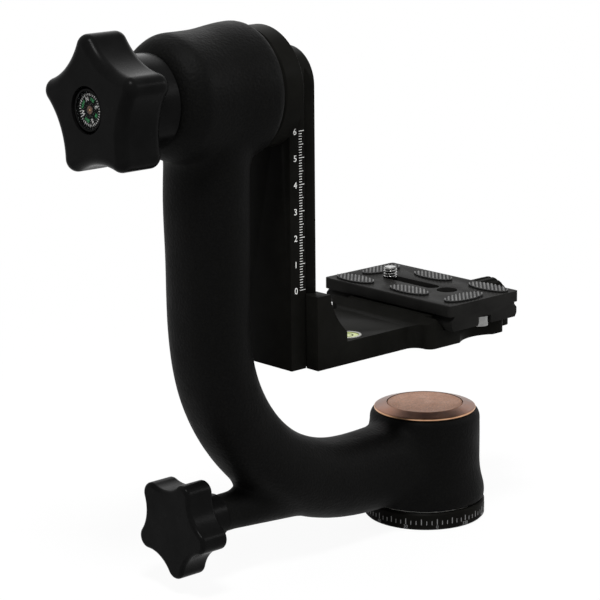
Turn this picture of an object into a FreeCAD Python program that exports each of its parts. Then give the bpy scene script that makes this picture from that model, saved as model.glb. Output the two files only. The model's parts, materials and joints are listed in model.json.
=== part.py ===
import FreeCAD, Part
import math
import os

# Gimbal tripod head: a side-mounted arm that pans on a round base and carries
# a swinging cradle with a height-adjustable platform and a quick-release clamp.
#
# Frame: origin on the pan axis at the underside of the base, +Z up. The tilt
# axis is parallel to X, the arm stands on the -X side and the lens points
# along Y. All lengths are millimetres.

V = FreeCAD.Vector
X_AXIS = V(1, 0, 0)
Y_AXIS = V(0, 1, 0)
Z_AXIS = V(0, 0, 1)
ORIGIN = V(0, 0, 0)

# ---------------------------------------------------------------- fits
running_gap = 0.05       # radial play of a shaft that turns or slides in a hole
slide_gap = 0.15         # play between flat sliding faces
seam = 0.5               # visible gap between a turning part and its neighbour
lock_gap = 0.3           # lock pieces stand this far off when slack
lock_travel = 1.6        # room behind each lock piece for backing it off

# ---------------------------------------------------------------- pan base
base_r = 28.3
base_h = 8.0
base_edge = 0.8
socket_r = 3.97          # 3/8-16 thread, root of the female thread
socket_depth = 12.0
bushing_r = 6.5
spindle_r = 9.0
spindle_flange_r = 17.0
spindle_flange_t = 4.0
spindle_thread_r = 6.0
spindle_screw_count = 4
spindle_screw_ring = 12.0
spindle_screw_r = 2.0
spindle_screw_head_r = 3.6
washer_t = 0.4
washer_in = 18.0
washer_out = 26.0

# ---------------------------------------------------------------- hub
hub_top_z = 51.2
hub_mid_r = 25.8
hub_skirt_r = 28.2
hub_rim_r = 24.2
hub_blend = 7.0          # where the lower arm starts to swell into the hub
hub_shoulder = 5.0       # height of the rounded shoulder under the cap
hub_flare_h = 3.5        # heights on the hub's side where its flared skirt draws in
hub_draw_h = 12.0
hub_straight_h = 21.0
bush_t = 4.0             # wall of the pan bushes
bush_len = 8.5
nut_cavity_h = 6.8
nut_r = 12.0
nut_t = 4.2
cap_r = 23.8
cap_rim_h = 1.2
cap_h = 2.8
cap_disc_r = 17.7
cap_disc_t = 1.3
cap_disc_edge = 0.3
cap_groove = 0.2         # fine groove between the ring and its disc
cap_spigot_h = 1.4
cap_spigot_wall = 2.0

# ---------------------------------------------------------------- arm
tilt_z = 214.0
lower_z = 29.1           # height of the lower arm's centre line
bend_r = 85.5            # centre-line radius of the elbow
column_inset = 21.65     # column centre line, back from the barrel's inner end
column_half_x = 14.8
column_half_y = 20.0
column_top_grow = 1.2    # how much wider the column is where it meets the barrel
lower_half_z = 18.7
lower_half_y = 16.7
lower_root_half = 20.4   # half height of the lower arm where it ends inside the hub
section_power = 2.2      # super-ellipse power of the arm's section
pan_boss_r = 8.3
pan_boss_flare = 3.3
pan_boss_neck = 8.0
pan_boss_run = 44.0
pan_boss_x = -129.4

# ---------------------------------------------------------------- barrel and tilt axis
rail_front_x = -84.0
rail_depth = 14.6
flange_t = 10.9
flange_r = 26.2
barrel_len = 50.5
barrel_r = 27.0
barrel_flare = 2.0       # extra radius of the swollen inner end
barrel_outer_round = 10.0
barrel_outer_run = 13.0   # how far the rounded outer end runs along the barrel
barrel_inner_round = 5.0
shaft_r = 10.0
shaft_spigot_r = 8.0
shaft_spigot_len = 8.5
tilt_bush_t = 5.0
tilt_bush_len = 10.0
tilt_bush_gap = 9.0      # relief between the two tilt bushes
cover_r = 16.0
cover_t = 5.0
tilt_nut_r = 13.0
tilt_nut_t = 4.8
shaft_end_over = 1.4     # thread that stands out past the nut
thrust_in = 16.0
thrust_out = 23.0
lock_disc_r = 15.4
lock_disc_t = 3.7
lock_disc_pocket = 1.6
tilt_stud_r = 3.95
tilt_stud_nose_r = 2.5

# ---------------------------------------------------------------- knobs
lobes = 5
tilt_tip_r = 30.2
tilt_lobe_r = 5.3
tilt_valley_r = 22.5
tilt_star_depth = 22.0
tilt_collar_r = 20.0
tilt_collar_len = 10.4
tilt_star_round = 4.4
tilt_star_turn = 6.3     # degrees from +Z towards +Y of the first lobe
pan_tip_r = 22.6
pan_lobe_r = 5.1
pan_valley_r = 16.6
pan_star_depth = 14.3
pan_collar_r = 9.5
pan_collar_len = 11.8
pan_star_round = 1.8
pan_star_turn = 45.1
pan_rod_r = 3.0
pan_shoe_r = 5.0
pan_shoe_len = 12.65
height_tip_r = 17.0
height_lobe_r = 4.8
height_valley_r = 11.0
height_star_depth = 13.0
height_collar_r = 7.0
height_collar_len = 5.0
height_star_round = 2.0
knob_socket = 8.0        # length of each stud buried in its knob

# ---------------------------------------------------------------- compass in the tilt knob
compass_recess_r = 9.8
compass_recess = 5.0
compass_case_r = 8.6
compass_case_h = 4.2
compass_wall = 0.8
compass_card_r = 7.6
compass_card_t = 0.6
compass_pivot_r = 0.5
compass_lens_t = 0.8
compass_card_rise = 1.8

# ---------------------------------------------------------------- swing rail
rail_half_w = 16.0
rail_drop = 123.3        # tilt axis to the rail's lower end
rail_groove = 2.2        # depth of the V groove, also half its mouth
rail_groove_x = -88.0
rail_corner = 1.5
rail_screw_count = 4
rail_screw_ring = 11.5
rail_screw_r = 2.4
rail_screw_head_r = 4.0
rail_screw_head_h = 4.5
rail_screw_len = 20.0
stop_screw_r = 1.5
stop_head_r = 2.6
stop_head_h = 1.4
stop_screw_len = 6.0
stop_down = 12.0         # stop screw below the top of the bracket's leg

# ---------------------------------------------------------------- platform bracket
leg_half_w = 23.5
leg_back_x = -90.0
leg_front_x = -82.4
leg_h = 32.9
gusset_foot_x = -72.4
gusset_foot_h = 4.5
floor_t = 10.2
clamp_half_w = 32.8
neck_r = 5.5
neck_x = -36.0
seat_t = 7.6
block_end_x = 19.2
block_corner = 3.0
scallop_half = 11.0
scallop_depth = 3.6
jaw_half_w = 26.4
jaw_corner = 4.0
fixed_jaw_t = 5.0
shoulder_drop = 5.2      # slope from the cove's top down to the seat, past the jaw's ends
level_x = -64.5
level_y = -15.5
level_r = 6.0
level_wall = 1.1
level_depth = 5.0
level_proud = 0.3

# ---------------------------------------------------------------- height lock
height_lock_rise = 18.2  # above the bracket's underside
height_boss_r = 8.0
height_boss_len = 11.4
height_wall = 5.0
height_shoe_r = 4.5
height_stud_r = 2.95
shoe_tip_r = 0.4

# ---------------------------------------------------------------- quick-release clamp
jaw_outer_x = 30.4
jaw_lift = 0.4
jaw_block_gap = 0.4
clamp_z_rise = 3.8       # clamp screw above the bracket's underside
clamp_stud_r = 2.95
clamp_stud_in = 14.0     # depth of the stud in the bracket
guide_pin_r = 2.5
guide_pin_y = 19.0
guide_pin_in = 13.0
guide_pin_press = 7.0
clamp_knob_r = 12.4
clamp_knob_len = 13.2
clamp_knob_neck_r = 7.0
clamp_knob_neck = 1.6
clamp_knob_round = 1.2
flute_count = 20
flute_r = 1.3

# ---------------------------------------------------------------- camera plate
plate_half_w = 22.8
plate_len = 82.0
plate_rest_y = 3.2       # plate centre, as slid in the clamp
plate_t = 11.9
plate_seat_gap = 0.1
plate_flange_t = 5.0
plate_corner = 2.0
tail_nose_half = 21.4
tail_neck_half = 19.8
tail_nose_low = 1.9
tail_nose_high = 4.4
slot_half_w = 3.4
slot_start = -7.5        # screw centre at the two ends of the slot, from the plate centre
slot_end = 19.8
slot_recess_half = 7.5
slot_recess_h = 5.35
spare_hole_r = 4.8
spare_hole_y = -17.2
pad_half_long = 11.4
pad_half_wide = 5.1
pad_shift = -0.6         # centre of the pad pattern from the plate's centre
corner_pad_in = 7.0      # pads at one corner: in from the plate's side and from its end
corner_pad_end = 13.3
end_pad_in = 16.5        # pads that lie across the plate beside them
end_pad_end = 8.0
side_pad_in = 8.7        # pads beside the slot
side_pad_y = -6.1
pad_sink = 0.8
pad_proud = 1.1
stop_inset = 3.1
plate_stop_head_r = 3.7
plate_stop_head_h = 4.5
plate_stop_below = 0.8
plate_stop_r = 1.9
plate_stop_len = 5.5
notch_gap = 0.5
camera_screw_r = 3.175   # 1/4-20 thread
camera_neck_r = 2.7
camera_thread_len = 4.9
camera_screw_proud = 5.0
camera_head_r = 6.5
camera_head_h = 3.5
camera_head_low = 0.8
camera_washer_r = 6.9
camera_washer_t = 1.0

# ---------------------------------------------------------------- stations worked out
hub_bottom_z = base_h + washer_t + running_gap
shaft_shoulder_z = hub_top_z - nut_cavity_h + running_gap
bush_r = spindle_r + bush_t
rail_back_x = rail_front_x - rail_depth
flange_x = rail_back_x - flange_t
barrel_x = flange_x - seam
barrel_end_x = barrel_x - barrel_len
column_x = barrel_x - column_inset
tilt_collar_x = barrel_end_x - seam
tilt_star_x = tilt_collar_x - tilt_collar_len
tilt_front_x = tilt_star_x - tilt_star_depth
tilt_bush_r = shaft_r + tilt_bush_t
inner_bush_end = barrel_x - tilt_bush_len
outer_bush_start = inner_bush_end - tilt_bush_gap
outer_bush_end = outer_bush_start - tilt_bush_len
tilt_nut_x = outer_bush_end - 2 * running_gap
shaft_end_x = tilt_nut_x - tilt_nut_t - shaft_end_over
lock_disc_x = shaft_end_x - lock_gap - lock_disc_t
pan_collar_x = pan_boss_x - seam
pan_star_x = pan_collar_x - pan_collar_len
pan_front_x = pan_star_x - pan_star_depth
pan_shoe_tip = spindle_r + lock_gap + running_gap
pan_shoe_x = -(pan_shoe_tip + pan_shoe_len)
rail_bottom_z = tilt_z - rail_drop
leg_top_z = rail_bottom_z + leg_h
floor_z = rail_bottom_z + floor_t
seat_z = rail_bottom_z + seat_t
plate_z = seat_z + plate_seat_gap
plate_top_z = plate_z + plate_t
flange_under_z = plate_top_z - plate_flange_t
tail_slope_z = plate_z + tail_nose_high
jaw_face_x = tail_nose_half + slide_gap
jaw_tip_x = tail_neck_half + seam
jaw_top_z = tail_slope_z + tail_nose_half - tail_neck_half
channel_half = rail_half_w + slide_gap
channel_x = rail_front_x + slide_gap
height_z = rail_bottom_z + height_lock_rise
height_boss_y = leg_half_w + 4.5
height_bore_end = height_boss_y - height_wall
height_shoe_back = height_bore_end - lock_travel
clamp_z = rail_bottom_z + clamp_z_rise
clamp_knob_x = jaw_outer_x + seam
camera_screw_y = plate_rest_y + slot_end
stop_z = leg_top_z - stop_down
stop_slot_top = stop_z + stop_head_r + lock_gap


# ---------------------------------------------------------------- helpers
def rod(radius, start, length, axis):
    """Plain cylinder from start along axis."""
    return Part.makeCylinder(radius, length, start, axis)


def tube(outer, inner, start, length, axis):
    """Ring or bush from start along axis."""
    return rod(outer, start, length, axis).cut(rod(inner, start, length, axis))


def block(x0, x1, y0, y1, z0, z1):
    """Box between two corners."""
    return Part.makeBox(x1 - x0, y1 - y0, z1 - z0, V(x0, y0, z0))


def line(a, b):
    return Part.LineSegment(a, b).toShape()


def arc(a, mid, b):
    return Part.Arc(a, mid, b).toShape()


def prism(points, direction):
    """Polygon extruded along direction."""
    wire = Part.makePolygon(points + points[:1])
    return Part.Face(wire).extrude(direction)


def spun(edges, centre, axis):
    """Closed profile of edges, revolved a full turn."""
    return Part.Face(Part.Wire(edges)).revolve(centre, axis, 360)


def around(angle_deg, radius, centre, across, up):
    """Point on a circle; the angle runs from up towards across."""
    angle = math.radians(angle_deg)
    return centre + across * (radius * math.sin(angle)) + up * (radius * math.cos(angle))


def hex_socket(across, start, depth, axis):
    """Hexagonal recess for a key."""
    side_a = Y_AXIS if abs(axis.z) > 0.5 or abs(axis.x) > 0.5 else X_AXIS
    side_b = axis.cross(side_a)
    radius = across / math.sqrt(3)
    corners = [around(60 * k, radius, start, side_a, side_b) for k in range(6)]
    return prism(corners, axis * depth)


def cap_screw(start, axis, head_r, head_h, shank_r, length):
    """Socket-head screw: start is the top of the head, axis points down the shank."""
    head = rod(head_r, start, head_h, axis)
    shank = rod(shank_r, start + axis * (head_h * 0.5), length - head_h * 0.5, axis)
    socket = hex_socket(head_r * 1.05, start, head_h * 0.45, axis)
    return head.fuse(shank).cut(socket).removeSplitter()


def save(name, shape):
    shape.exportStep(os.path.join("parts", name + ".step"))


# ---------------------------------------------------------------- pan base and spindle
def spindle_screw_spots():
    step = 360.0 / spindle_screw_count
    for k in range(spindle_screw_count):
        yield around(45.0 + k * step, spindle_screw_ring, ORIGIN, X_AXIS, Y_AXIS)


def countersunk(spot, length):
    """Flat-head screw that comes up from the underside of the base."""
    cone_h = spindle_screw_head_r - spindle_screw_r
    sink = 0.3
    head = Part.makeCone(spindle_screw_head_r, spindle_screw_r, cone_h, spot + Z_AXIS * sink, Z_AXIS)
    shank = rod(spindle_screw_r, spot + Z_AXIS * sink, length, Z_AXIS)
    return head.fuse(shank)


def pan_base():
    body = rod(base_r, ORIGIN, base_h, Z_AXIS)
    body = body.makeChamfer(base_edge, [e for e in body.Edges if len(e.Vertexes) == 1])
    body = body.cut(rod(bushing_r, ORIGIN, base_h, Z_AXIS))
    flange_z = base_h - spindle_flange_t
    body = body.cut(rod(spindle_flange_r, Z_AXIS * flange_z, spindle_flange_t, Z_AXIS))
    for spot in spindle_screw_spots():
        body = body.cut(rod(spindle_screw_head_r, spot, 0.3, Z_AXIS))
        body = body.cut(countersunk(spot, flange_z))
    return body


def socket_bushing():
    return tube(bushing_r, socket_r, ORIGIN, socket_depth, Z_AXIS)


def pan_spindle():
    flange_z = base_h - spindle_flange_t
    body = rod(spindle_flange_r, Z_AXIS * flange_z, spindle_flange_t, Z_AXIS)
    body = body.fuse(rod(spindle_r, Z_AXIS * flange_z, shaft_shoulder_z - flange_z, Z_AXIS))
    thread_top = shaft_shoulder_z + nut_t
    body = body.fuse(rod(spindle_thread_r, Z_AXIS * flange_z, thread_top - flange_z, Z_AXIS))
    body = body.cut(rod(bushing_r, ORIGIN, socket_depth, Z_AXIS))
    for spot in spindle_screw_spots():
        body = body.cut(rod(spindle_screw_r, spot, base_h - 0.8, Z_AXIS))
    return body.removeSplitter()


def spindle_screws():
    solids = []
    for spot in spindle_screw_spots():
        screw = countersunk(spot, base_h - 1.1)
        screw = screw.cut(hex_socket(2.5, spot + Z_AXIS * 0.3, 1.4, Z_AXIS))
        solids.append(screw.removeSplitter())
    return Part.makeCompound(solids)


def spindle_nut():
    """Slotted round nut that holds the hub down."""
    body = tube(nut_r, spindle_thread_r, Z_AXIS * shaft_shoulder_z, nut_t, Z_AXIS)
    for k in range(4):
        slot = block(nut_r - 2.0, nut_r + 1.0, -1.6, 1.6, shaft_shoulder_z, hub_top_z)
        slot.rotate(ORIGIN, Z_AXIS, 90 * k)
        body = body.cut(slot)
    return body


def pan_thrust_washer():
    return tube(washer_out, washer_in, Z_AXIS * base_h, washer_t, Z_AXIS)


# ---------------------------------------------------------------- arm casting
def hub_solid():
    """Round hub: flared skirt, near-straight side and a rounded shoulder."""
    shoulder_z = hub_top_z - hub_shoulder
    skirt = [
        V(hub_skirt_r - 0.5, 0, hub_bottom_z),
        V(hub_skirt_r, 0, hub_bottom_z + hub_flare_h),
        V(hub_mid_r + 0.7, 0, hub_bottom_z + hub_draw_h),
        V(hub_mid_r + 0.1, 0, hub_bottom_z + hub_straight_h),
        V(hub_mid_r, 0, shoulder_z),
    ]
    side = Part.BSplineCurve()
    side.interpolate(skirt)
    top = V(hub_rim_r, 0, hub_top_z)
    middle = V(hub_mid_r - 0.3, 0, hub_top_z - hub_shoulder * 0.42)
    edges = [
        line(V(0, 0, hub_bottom_z), skirt[0]),
        side.toShape(),
        arc(skirt[-1], middle, top),
        line(top, V(0, 0, hub_top_z)),
        line(V(0, 0, hub_top_z), V(0, 0, hub_bottom_z)),
    ]
    return spun(edges, ORIGIN, Z_AXIS)


def arm_section(centre, normal_across, half_across, half_y):
    """Closed super-ellipse; normal_across is the in-plane direction of the arm's bend."""
    points = []
    count = 16
    power = 2.0 / section_power
    for k in range(count):
        angle = 2 * math.pi * k / count
        c = math.copysign(abs(math.cos(angle)) ** power, math.cos(angle))
        s = math.copysign(abs(math.sin(angle)) ** power, math.sin(angle))
        points.append(centre + normal_across * (half_across * c) + Y_AXIS * (half_y * s))
    curve = Part.BSplineCurve()
    curve.interpolate(points, PeriodicFlag=True)
    return Part.Wire([curve.toShape()])


def arm_limb():
    """Column, elbow and lower arm as one smooth skin."""
    bend_z = lower_z + bend_r
    bend_x = column_x + bend_r
    top_z = tilt_z - 14.0
    wires = []
    for share in (1.0, 0.7, 0.35):
        z = bend_z + (top_z - bend_z) * share
        grow = column_top_grow * share
        half_y = column_half_y + grow * 0.5
        wires.append(arm_section(V(column_x, 0, z), X_AXIS, column_half_x + grow, half_y))
    turns = 5
    for k in range(turns + 1):
        share = k / turns
        angle = math.radians(90.0 * share)
        outward = V(math.cos(angle), 0, math.sin(angle))
        centre = V(bend_x, 0, bend_z) - outward * bend_r
        half = column_half_x + (lower_half_z - column_half_x) * share
        half_y = column_half_y + (lower_half_y - column_half_y) * share
        wires.append(arm_section(centre, outward, half, half_y))
    near_x = -(hub_mid_r + hub_blend)
    wires.append(arm_section(V(near_x, 0, lower_z), Z_AXIS, lower_half_z + 0.2, lower_half_y + 0.9))
    wires.append(arm_section(V(-bush_r, 0, lower_z), Z_AXIS, lower_root_half, hub_mid_r * 0.8))
    return Part.makeLoft(wires, True, False)


def barrel_solid():
    """Horizontal barrel at the tilt axis, swollen towards the cradle."""
    end_r = barrel_r - barrel_outer_round
    swell_r = barrel_r + barrel_flare
    round_x = barrel_end_x + barrel_outer_run
    swell_x = barrel_x - barrel_inner_round
    half = math.sqrt(0.5)

    def at(x, r):
        return V(x, 0, tilt_z + r)

    rounded = []
    for k in range(5):
        angle = math.radians(22.5 * k)
        x = round_x - barrel_outer_run * math.cos(angle)
        rounded.append(at(x, end_r + barrel_outer_round * math.sin(angle)))
    outer = Part.BSplineCurve()
    outer.interpolate(rounded, InitialTangent=Z_AXIS, FinalTangent=X_AXIS)
    inner_r = swell_r - barrel_inner_round
    inner_mid = at(swell_x + barrel_inner_round * half, inner_r + barrel_inner_round * half)
    side = Part.BSplineCurve()
    span = swell_x - round_x
    side.interpolate(
        [at(round_x, barrel_r), at(round_x + span * 0.45, barrel_r + 0.3), at(swell_x, swell_r)],
        InitialTangent=X_AXIS,
        FinalTangent=X_AXIS,
    )
    edges = [
        line(at(barrel_end_x, 0), at(barrel_end_x, end_r)),
        outer.toShape(),
        side.toShape(),
        arc(at(swell_x, swell_r), inner_mid, at(barrel_x, inner_r)),
        line(at(barrel_x, inner_r), at(barrel_x, 0)),
        line(at(barrel_x, 0), at(barrel_end_x, 0)),
    ]
    return spun(edges, V(0, 0, tilt_z), X_AXIS)


def pan_boss():
    """Boss at the elbow that the pan lock rod goes in by."""
    start = V(pan_boss_x, 0, lower_z)
    neck = rod(pan_boss_r, start, pan_boss_neck, X_AXIS)
    flare_start = start + X_AXIS * pan_boss_neck
    flare_end_r = pan_boss_r + pan_boss_flare
    flare = Part.makeCone(pan_boss_r, flare_end_r, pan_boss_run, flare_start, X_AXIS)
    return neck.fuse(flare)


def hub_bores():
    """Seats of the two pan bushes, the relief between them and the nut cavity."""
    low = rod(bush_r, Z_AXIS * hub_bottom_z, bush_len, Z_AXIS)
    high_z = hub_top_z - nut_cavity_h - bush_len
    high = rod(bush_r, Z_AXIS * high_z, bush_len + 0.01, Z_AXIS)
    relief = rod(bush_r - 2.0, Z_AXIS * hub_bottom_z, high_z - hub_bottom_z + 0.01, Z_AXIS)
    cavity = rod(bush_r + 1.0, Z_AXIS * (hub_top_z - nut_cavity_h), nut_cavity_h, Z_AXIS)
    return low.fuse([high, relief, cavity])


def barrel_bores():
    """Seats of the tilt bushes and the lock chamber behind them."""
    end = V(barrel_end_x, 0, tilt_z)
    chamber = rod(cover_r, end, outer_bush_end - barrel_end_x, X_AXIS)
    seats = rod(tilt_bush_r, V(outer_bush_end, 0, tilt_z), tilt_bush_len, X_AXIS)
    relief = rod(shaft_r + 2.0, V(outer_bush_end, 0, tilt_z), barrel_x - outer_bush_end, X_AXIS)
    inner = rod(tilt_bush_r, V(inner_bush_end, 0, tilt_z), tilt_bush_len, X_AXIS)
    return chamber.fuse([seats, relief, inner])


def pan_lock_bores():
    start = V(pan_boss_x, 0, lower_z)
    long_bore = rod(pan_rod_r + running_gap, start, -pan_boss_x - bush_r, X_AXIS)
    shoe_start = V(pan_shoe_x - lock_travel, 0, lower_z)
    shoe_bore = rod(pan_shoe_r + running_gap, shoe_start, -shoe_start.x - spindle_r, X_AXIS)
    return long_bore.fuse(shoe_bore)


def swing_arm():
    body = hub_solid().fuse([arm_limb(), barrel_solid(), pan_boss()])
    body = body.cut(hub_bores())
    body = body.cut(barrel_bores())
    return body.cut(pan_lock_bores())


def pan_bush(z):
    return tube(bush_r, spindle_r + running_gap, Z_AXIS * z, bush_len, Z_AXIS)


def pan_bush_lower():
    return pan_bush(hub_bottom_z)


def pan_bush_upper():
    return pan_bush(hub_top_z - nut_cavity_h - bush_len)


def cap_ring():
    """Turned trim ring with a bevelled top, over the hub."""
    rim_z = hub_top_z + cap_rim_h
    top_z = hub_top_z + cap_h
    pocket_z = top_z - cap_disc_t - 0.1
    spigot_r = bush_r + 1.0 - running_gap
    profile = [
        V(0, 0, hub_top_z),
        V(spigot_r - cap_spigot_wall, 0, hub_top_z),
        V(spigot_r - cap_spigot_wall, 0, hub_top_z - cap_spigot_h),
        V(spigot_r, 0, hub_top_z - cap_spigot_h),
        V(spigot_r, 0, hub_top_z),
        V(cap_r - 0.4, 0, hub_top_z),
        V(cap_r, 0, hub_top_z + 0.4),
        V(cap_r, 0, rim_z - 0.3),
        V(cap_r - 0.5, 0, rim_z),
        V(cap_disc_r + cap_groove, 0, top_z),
        V(cap_disc_r + cap_groove, 0, pocket_z),
        V(0, 0, pocket_z),
    ]
    wire = Part.makePolygon(profile + profile[:1])
    return Part.Face(wire).revolve(ORIGIN, Z_AXIS, 360)


def cap_disc():
    pocket_z = hub_top_z + cap_h - cap_disc_t - 0.1
    disc = rod(cap_disc_r, Z_AXIS * pocket_z, cap_disc_t, Z_AXIS)
    rim = [e for e in disc.Edges if len(e.Vertexes) == 1 and e.Vertexes[0].Z > pocket_z + 0.1]
    return disc.makeChamfer(cap_disc_edge, rim)


def tilt_bush(x):
    return tube(tilt_bush_r, shaft_r + running_gap, V(x, 0, tilt_z), tilt_bush_len, X_AXIS)


def tilt_bush_inner():
    return tilt_bush(inner_bush_end)


def tilt_bush_outer():
    return tilt_bush(outer_bush_end)


def barrel_end_cover():
    """Threaded cover that closes the lock chamber and carries the lock screw."""
    start = V(barrel_end_x, 0, tilt_z)
    return tube(cover_r, tilt_stud_r + running_gap, start, cover_t, X_AXIS)


# ---------------------------------------------------------------- knobs
def star_wire(centre, tip_r, lobe_r, valley_r, turn, across, up):
    """Lobed outline of tangent arcs: round lobes joined by hollow valleys."""
    step = 360.0 / lobes
    cos_half = math.cos(math.pi / lobes)
    lobe_c = tip_r - lobe_r
    top = lobe_c ** 2 + valley_r ** 2 - 2 * lobe_c * valley_r * cos_half - lobe_r ** 2
    dip_r = top / (2 * (lobe_c * cos_half + lobe_r - valley_r))
    dip_c = valley_r + dip_r

    def spot(angle, radius):
        return around(angle, radius, centre, across, up)

    def joint(lobe_angle, dip_angle):
        lobe_at = spot(lobe_angle, lobe_c)
        dip_at = spot(dip_angle, dip_c)
        return lobe_at + (dip_at - lobe_at) * (lobe_r / (lobe_r + dip_r))

    edges = []
    for k in range(lobes):
        angle = turn + k * step
        before = joint(angle, angle - step / 2)
        after = joint(angle, angle + step / 2)
        following = joint(angle + step, angle + step / 2)
        edges.append(arc(before, spot(angle, tip_r), after))
        edges.append(arc(after, spot(angle + step / 2, valley_r), following))
    return Part.Wire(edges)


def star_knob(star_at, axis, across, up, star, collar_r, collar_len):
    """Star grip with rounded rims and a round collar; axis points out of the front face.

    star holds tip radius, lobe radius, valley radius, turn, depth and rim rounding.
    """
    tip_r, lobe_r, valley_r, turn, depth, rim = star
    outline = star_wire(star_at, tip_r, lobe_r, valley_r, turn, across, up)
    grip = Part.Face(outline).extrude(axis * depth)
    rims = [e for e in grip.Edges if abs(e.Vertexes[0].Point.sub(e.Vertexes[-1].Point).dot(axis)) < 0.001]
    grip = grip.makeFillet(rim, rims)
    collar = rod(collar_r, star_at - axis * collar_len, collar_len + depth * 0.5, axis)
    return grip.fuse(collar)


def tilt_lock_knob():
    star = (tilt_tip_r, tilt_lobe_r, tilt_valley_r, tilt_star_turn, tilt_star_depth, tilt_star_round)
    at = V(tilt_star_x, 0, tilt_z)
    knob = star_knob(at, -X_AXIS, Y_AXIS, Z_AXIS, star, tilt_collar_r, tilt_collar_len)
    front = V(tilt_front_x, 0, tilt_z)
    knob = knob.cut(rod(compass_recess_r, front, compass_recess, X_AXIS))
    stud_len = tilt_collar_len + knob_socket
    return knob.cut(rod(tilt_stud_r, V(tilt_collar_x, 0, tilt_z), stud_len, -X_AXIS))


def tilt_lock_screw():
    start = V(tilt_star_x - knob_socket, 0, tilt_z)
    body = rod(tilt_stud_r, start, lock_disc_x - start.x, X_AXIS)
    nose = rod(tilt_stud_nose_r, V(lock_disc_x, 0, tilt_z), lock_disc_pocket - 0.2, X_AXIS)
    return body.fuse(nose)


def tilt_lock_disc():
    start = V(lock_disc_x, 0, tilt_z)
    body = rod(lock_disc_r, start, lock_disc_t, X_AXIS)
    return body.cut(rod(tilt_stud_nose_r + running_gap, start, lock_disc_pocket, X_AXIS))


def compass_case():
    floor_x = tilt_front_x + compass_recess
    start = V(floor_x, 0, tilt_z)
    body = rod(compass_case_r, start, compass_case_h, -X_AXIS)
    hollow_start = start - X_AXIS * compass_wall
    hollow_h = compass_case_h - compass_wall
    return body.cut(rod(compass_case_r - compass_wall, hollow_start, hollow_h, -X_AXIS))


def compass_lens():
    mouth = V(tilt_front_x + compass_recess - compass_case_h, 0, tilt_z)
    return rod(compass_case_r - compass_wall, mouth, compass_lens_t, X_AXIS)


def compass_card_x():
    return tilt_front_x + compass_recess - compass_wall - compass_card_rise


def compass_card():
    start = V(compass_card_x(), 0, tilt_z)
    return tube(compass_card_r, compass_pivot_r + running_gap, start, compass_card_t, -X_AXIS)


def compass_pivot():
    floor = V(tilt_front_x + compass_recess - compass_wall, 0, tilt_z)
    return rod(compass_pivot_r, floor, compass_card_rise + compass_card_t + 0.05, -X_AXIS)


def pan_lock_knob():
    star = (pan_tip_r, pan_lobe_r, pan_valley_r, pan_star_turn, pan_star_depth, pan_star_round)
    at = V(pan_star_x, 0, lower_z)
    knob = star_knob(at, -X_AXIS, Y_AXIS, Z_AXIS, star, pan_collar_r, pan_collar_len)
    stud_len = pan_collar_len + knob_socket
    return knob.cut(rod(pan_rod_r, V(pan_collar_x, 0, lower_z), stud_len, -X_AXIS))


def pan_lock_screw():
    """Long rod from the knob through the lower arm to the shoe."""
    start = V(pan_star_x - knob_socket, 0, lower_z)
    return rod(pan_rod_r, start, pan_shoe_x - start.x, X_AXIS)


def pan_lock_shoe():
    """Brass shoe with a hollow end that grips the spindle."""
    body = rod(pan_shoe_r, V(pan_shoe_x, 0, lower_z), -pan_shoe_x, X_AXIS)
    grip_z = lower_z - pan_shoe_r - 1.0
    grip = rod(spindle_r + lock_gap + running_gap, Z_AXIS * grip_z, 2 * pan_shoe_r + 2.0, Z_AXIS)
    body = body.cut(grip)
    grip_top = lower_z + pan_shoe_r + 1.0
    return body.common(block(pan_shoe_x, -spindle_r * 0.5, -pan_shoe_r, pan_shoe_r, grip_z, grip_top))


# ---------------------------------------------------------------- cradle
def tilt_shaft():
    start = V(shaft_end_x, 0, tilt_z)
    thread = rod(shaft_spigot_r, start, flange_x - shaft_end_x + shaft_spigot_len, X_AXIS)
    journal = rod(shaft_r, V(tilt_nut_x, 0, tilt_z), flange_x - tilt_nut_x, X_AXIS)
    return thread.fuse(journal).removeSplitter()


def tilt_nut():
    start = V(tilt_nut_x - tilt_nut_t, 0, tilt_z)
    body = tube(tilt_nut_r, shaft_spigot_r, start, tilt_nut_t, X_AXIS)
    rim_z = tilt_z + tilt_nut_r
    for k in range(4):
        slot = block(start.x - 1.0, start.x + 2.0, -1.5, 1.5, rim_z - 2.0, rim_z + 1.0)
        slot.rotate(start, X_AXIS, 90 * k)
        body = body.cut(slot)
    return body


def tilt_thrust_washer():
    return tube(thrust_out, thrust_in, V(flange_x, 0, tilt_z), washer_t, -X_AXIS)


def rail_screw_spots():
    step = 360.0 / rail_screw_count
    for k in range(rail_screw_count):
        yield around(45.0 + k * step, rail_screw_ring, V(rail_front_x, 0, tilt_z), Y_AXIS, Z_AXIS)


def tilt_flange():
    """Round plate that joins the shaft to the rail."""
    start = V(flange_x, 0, tilt_z)
    body = rod(flange_r, start, flange_t, X_AXIS)
    body = body.makeChamfer(0.9, [e for e in body.Edges if len(e.Vertexes) == 1])
    body = body.cut(rod(shaft_spigot_r, start, shaft_spigot_len, X_AXIS))
    for spot in rail_screw_spots():
        body = body.cut(rod(rail_screw_r, spot, rail_screw_len, -X_AXIS))
    return body


def rail_section(z):
    """Dovetail section of the rail: back block, V groove and front tongue."""
    mouth_back = rail_groove_x - rail_groove
    mouth_front = rail_groove_x + rail_groove
    half = [
        (rail_back_x, rail_half_w),
        (mouth_back, rail_half_w),
        (rail_groove_x, rail_half_w - rail_groove),
        (mouth_front, rail_half_w),
        (rail_front_x, rail_half_w),
    ]
    right = [V(x, -y, z) for x, y in half]
    left = [V(x, y, z) for x, y in reversed(half)]
    return right + left


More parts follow.
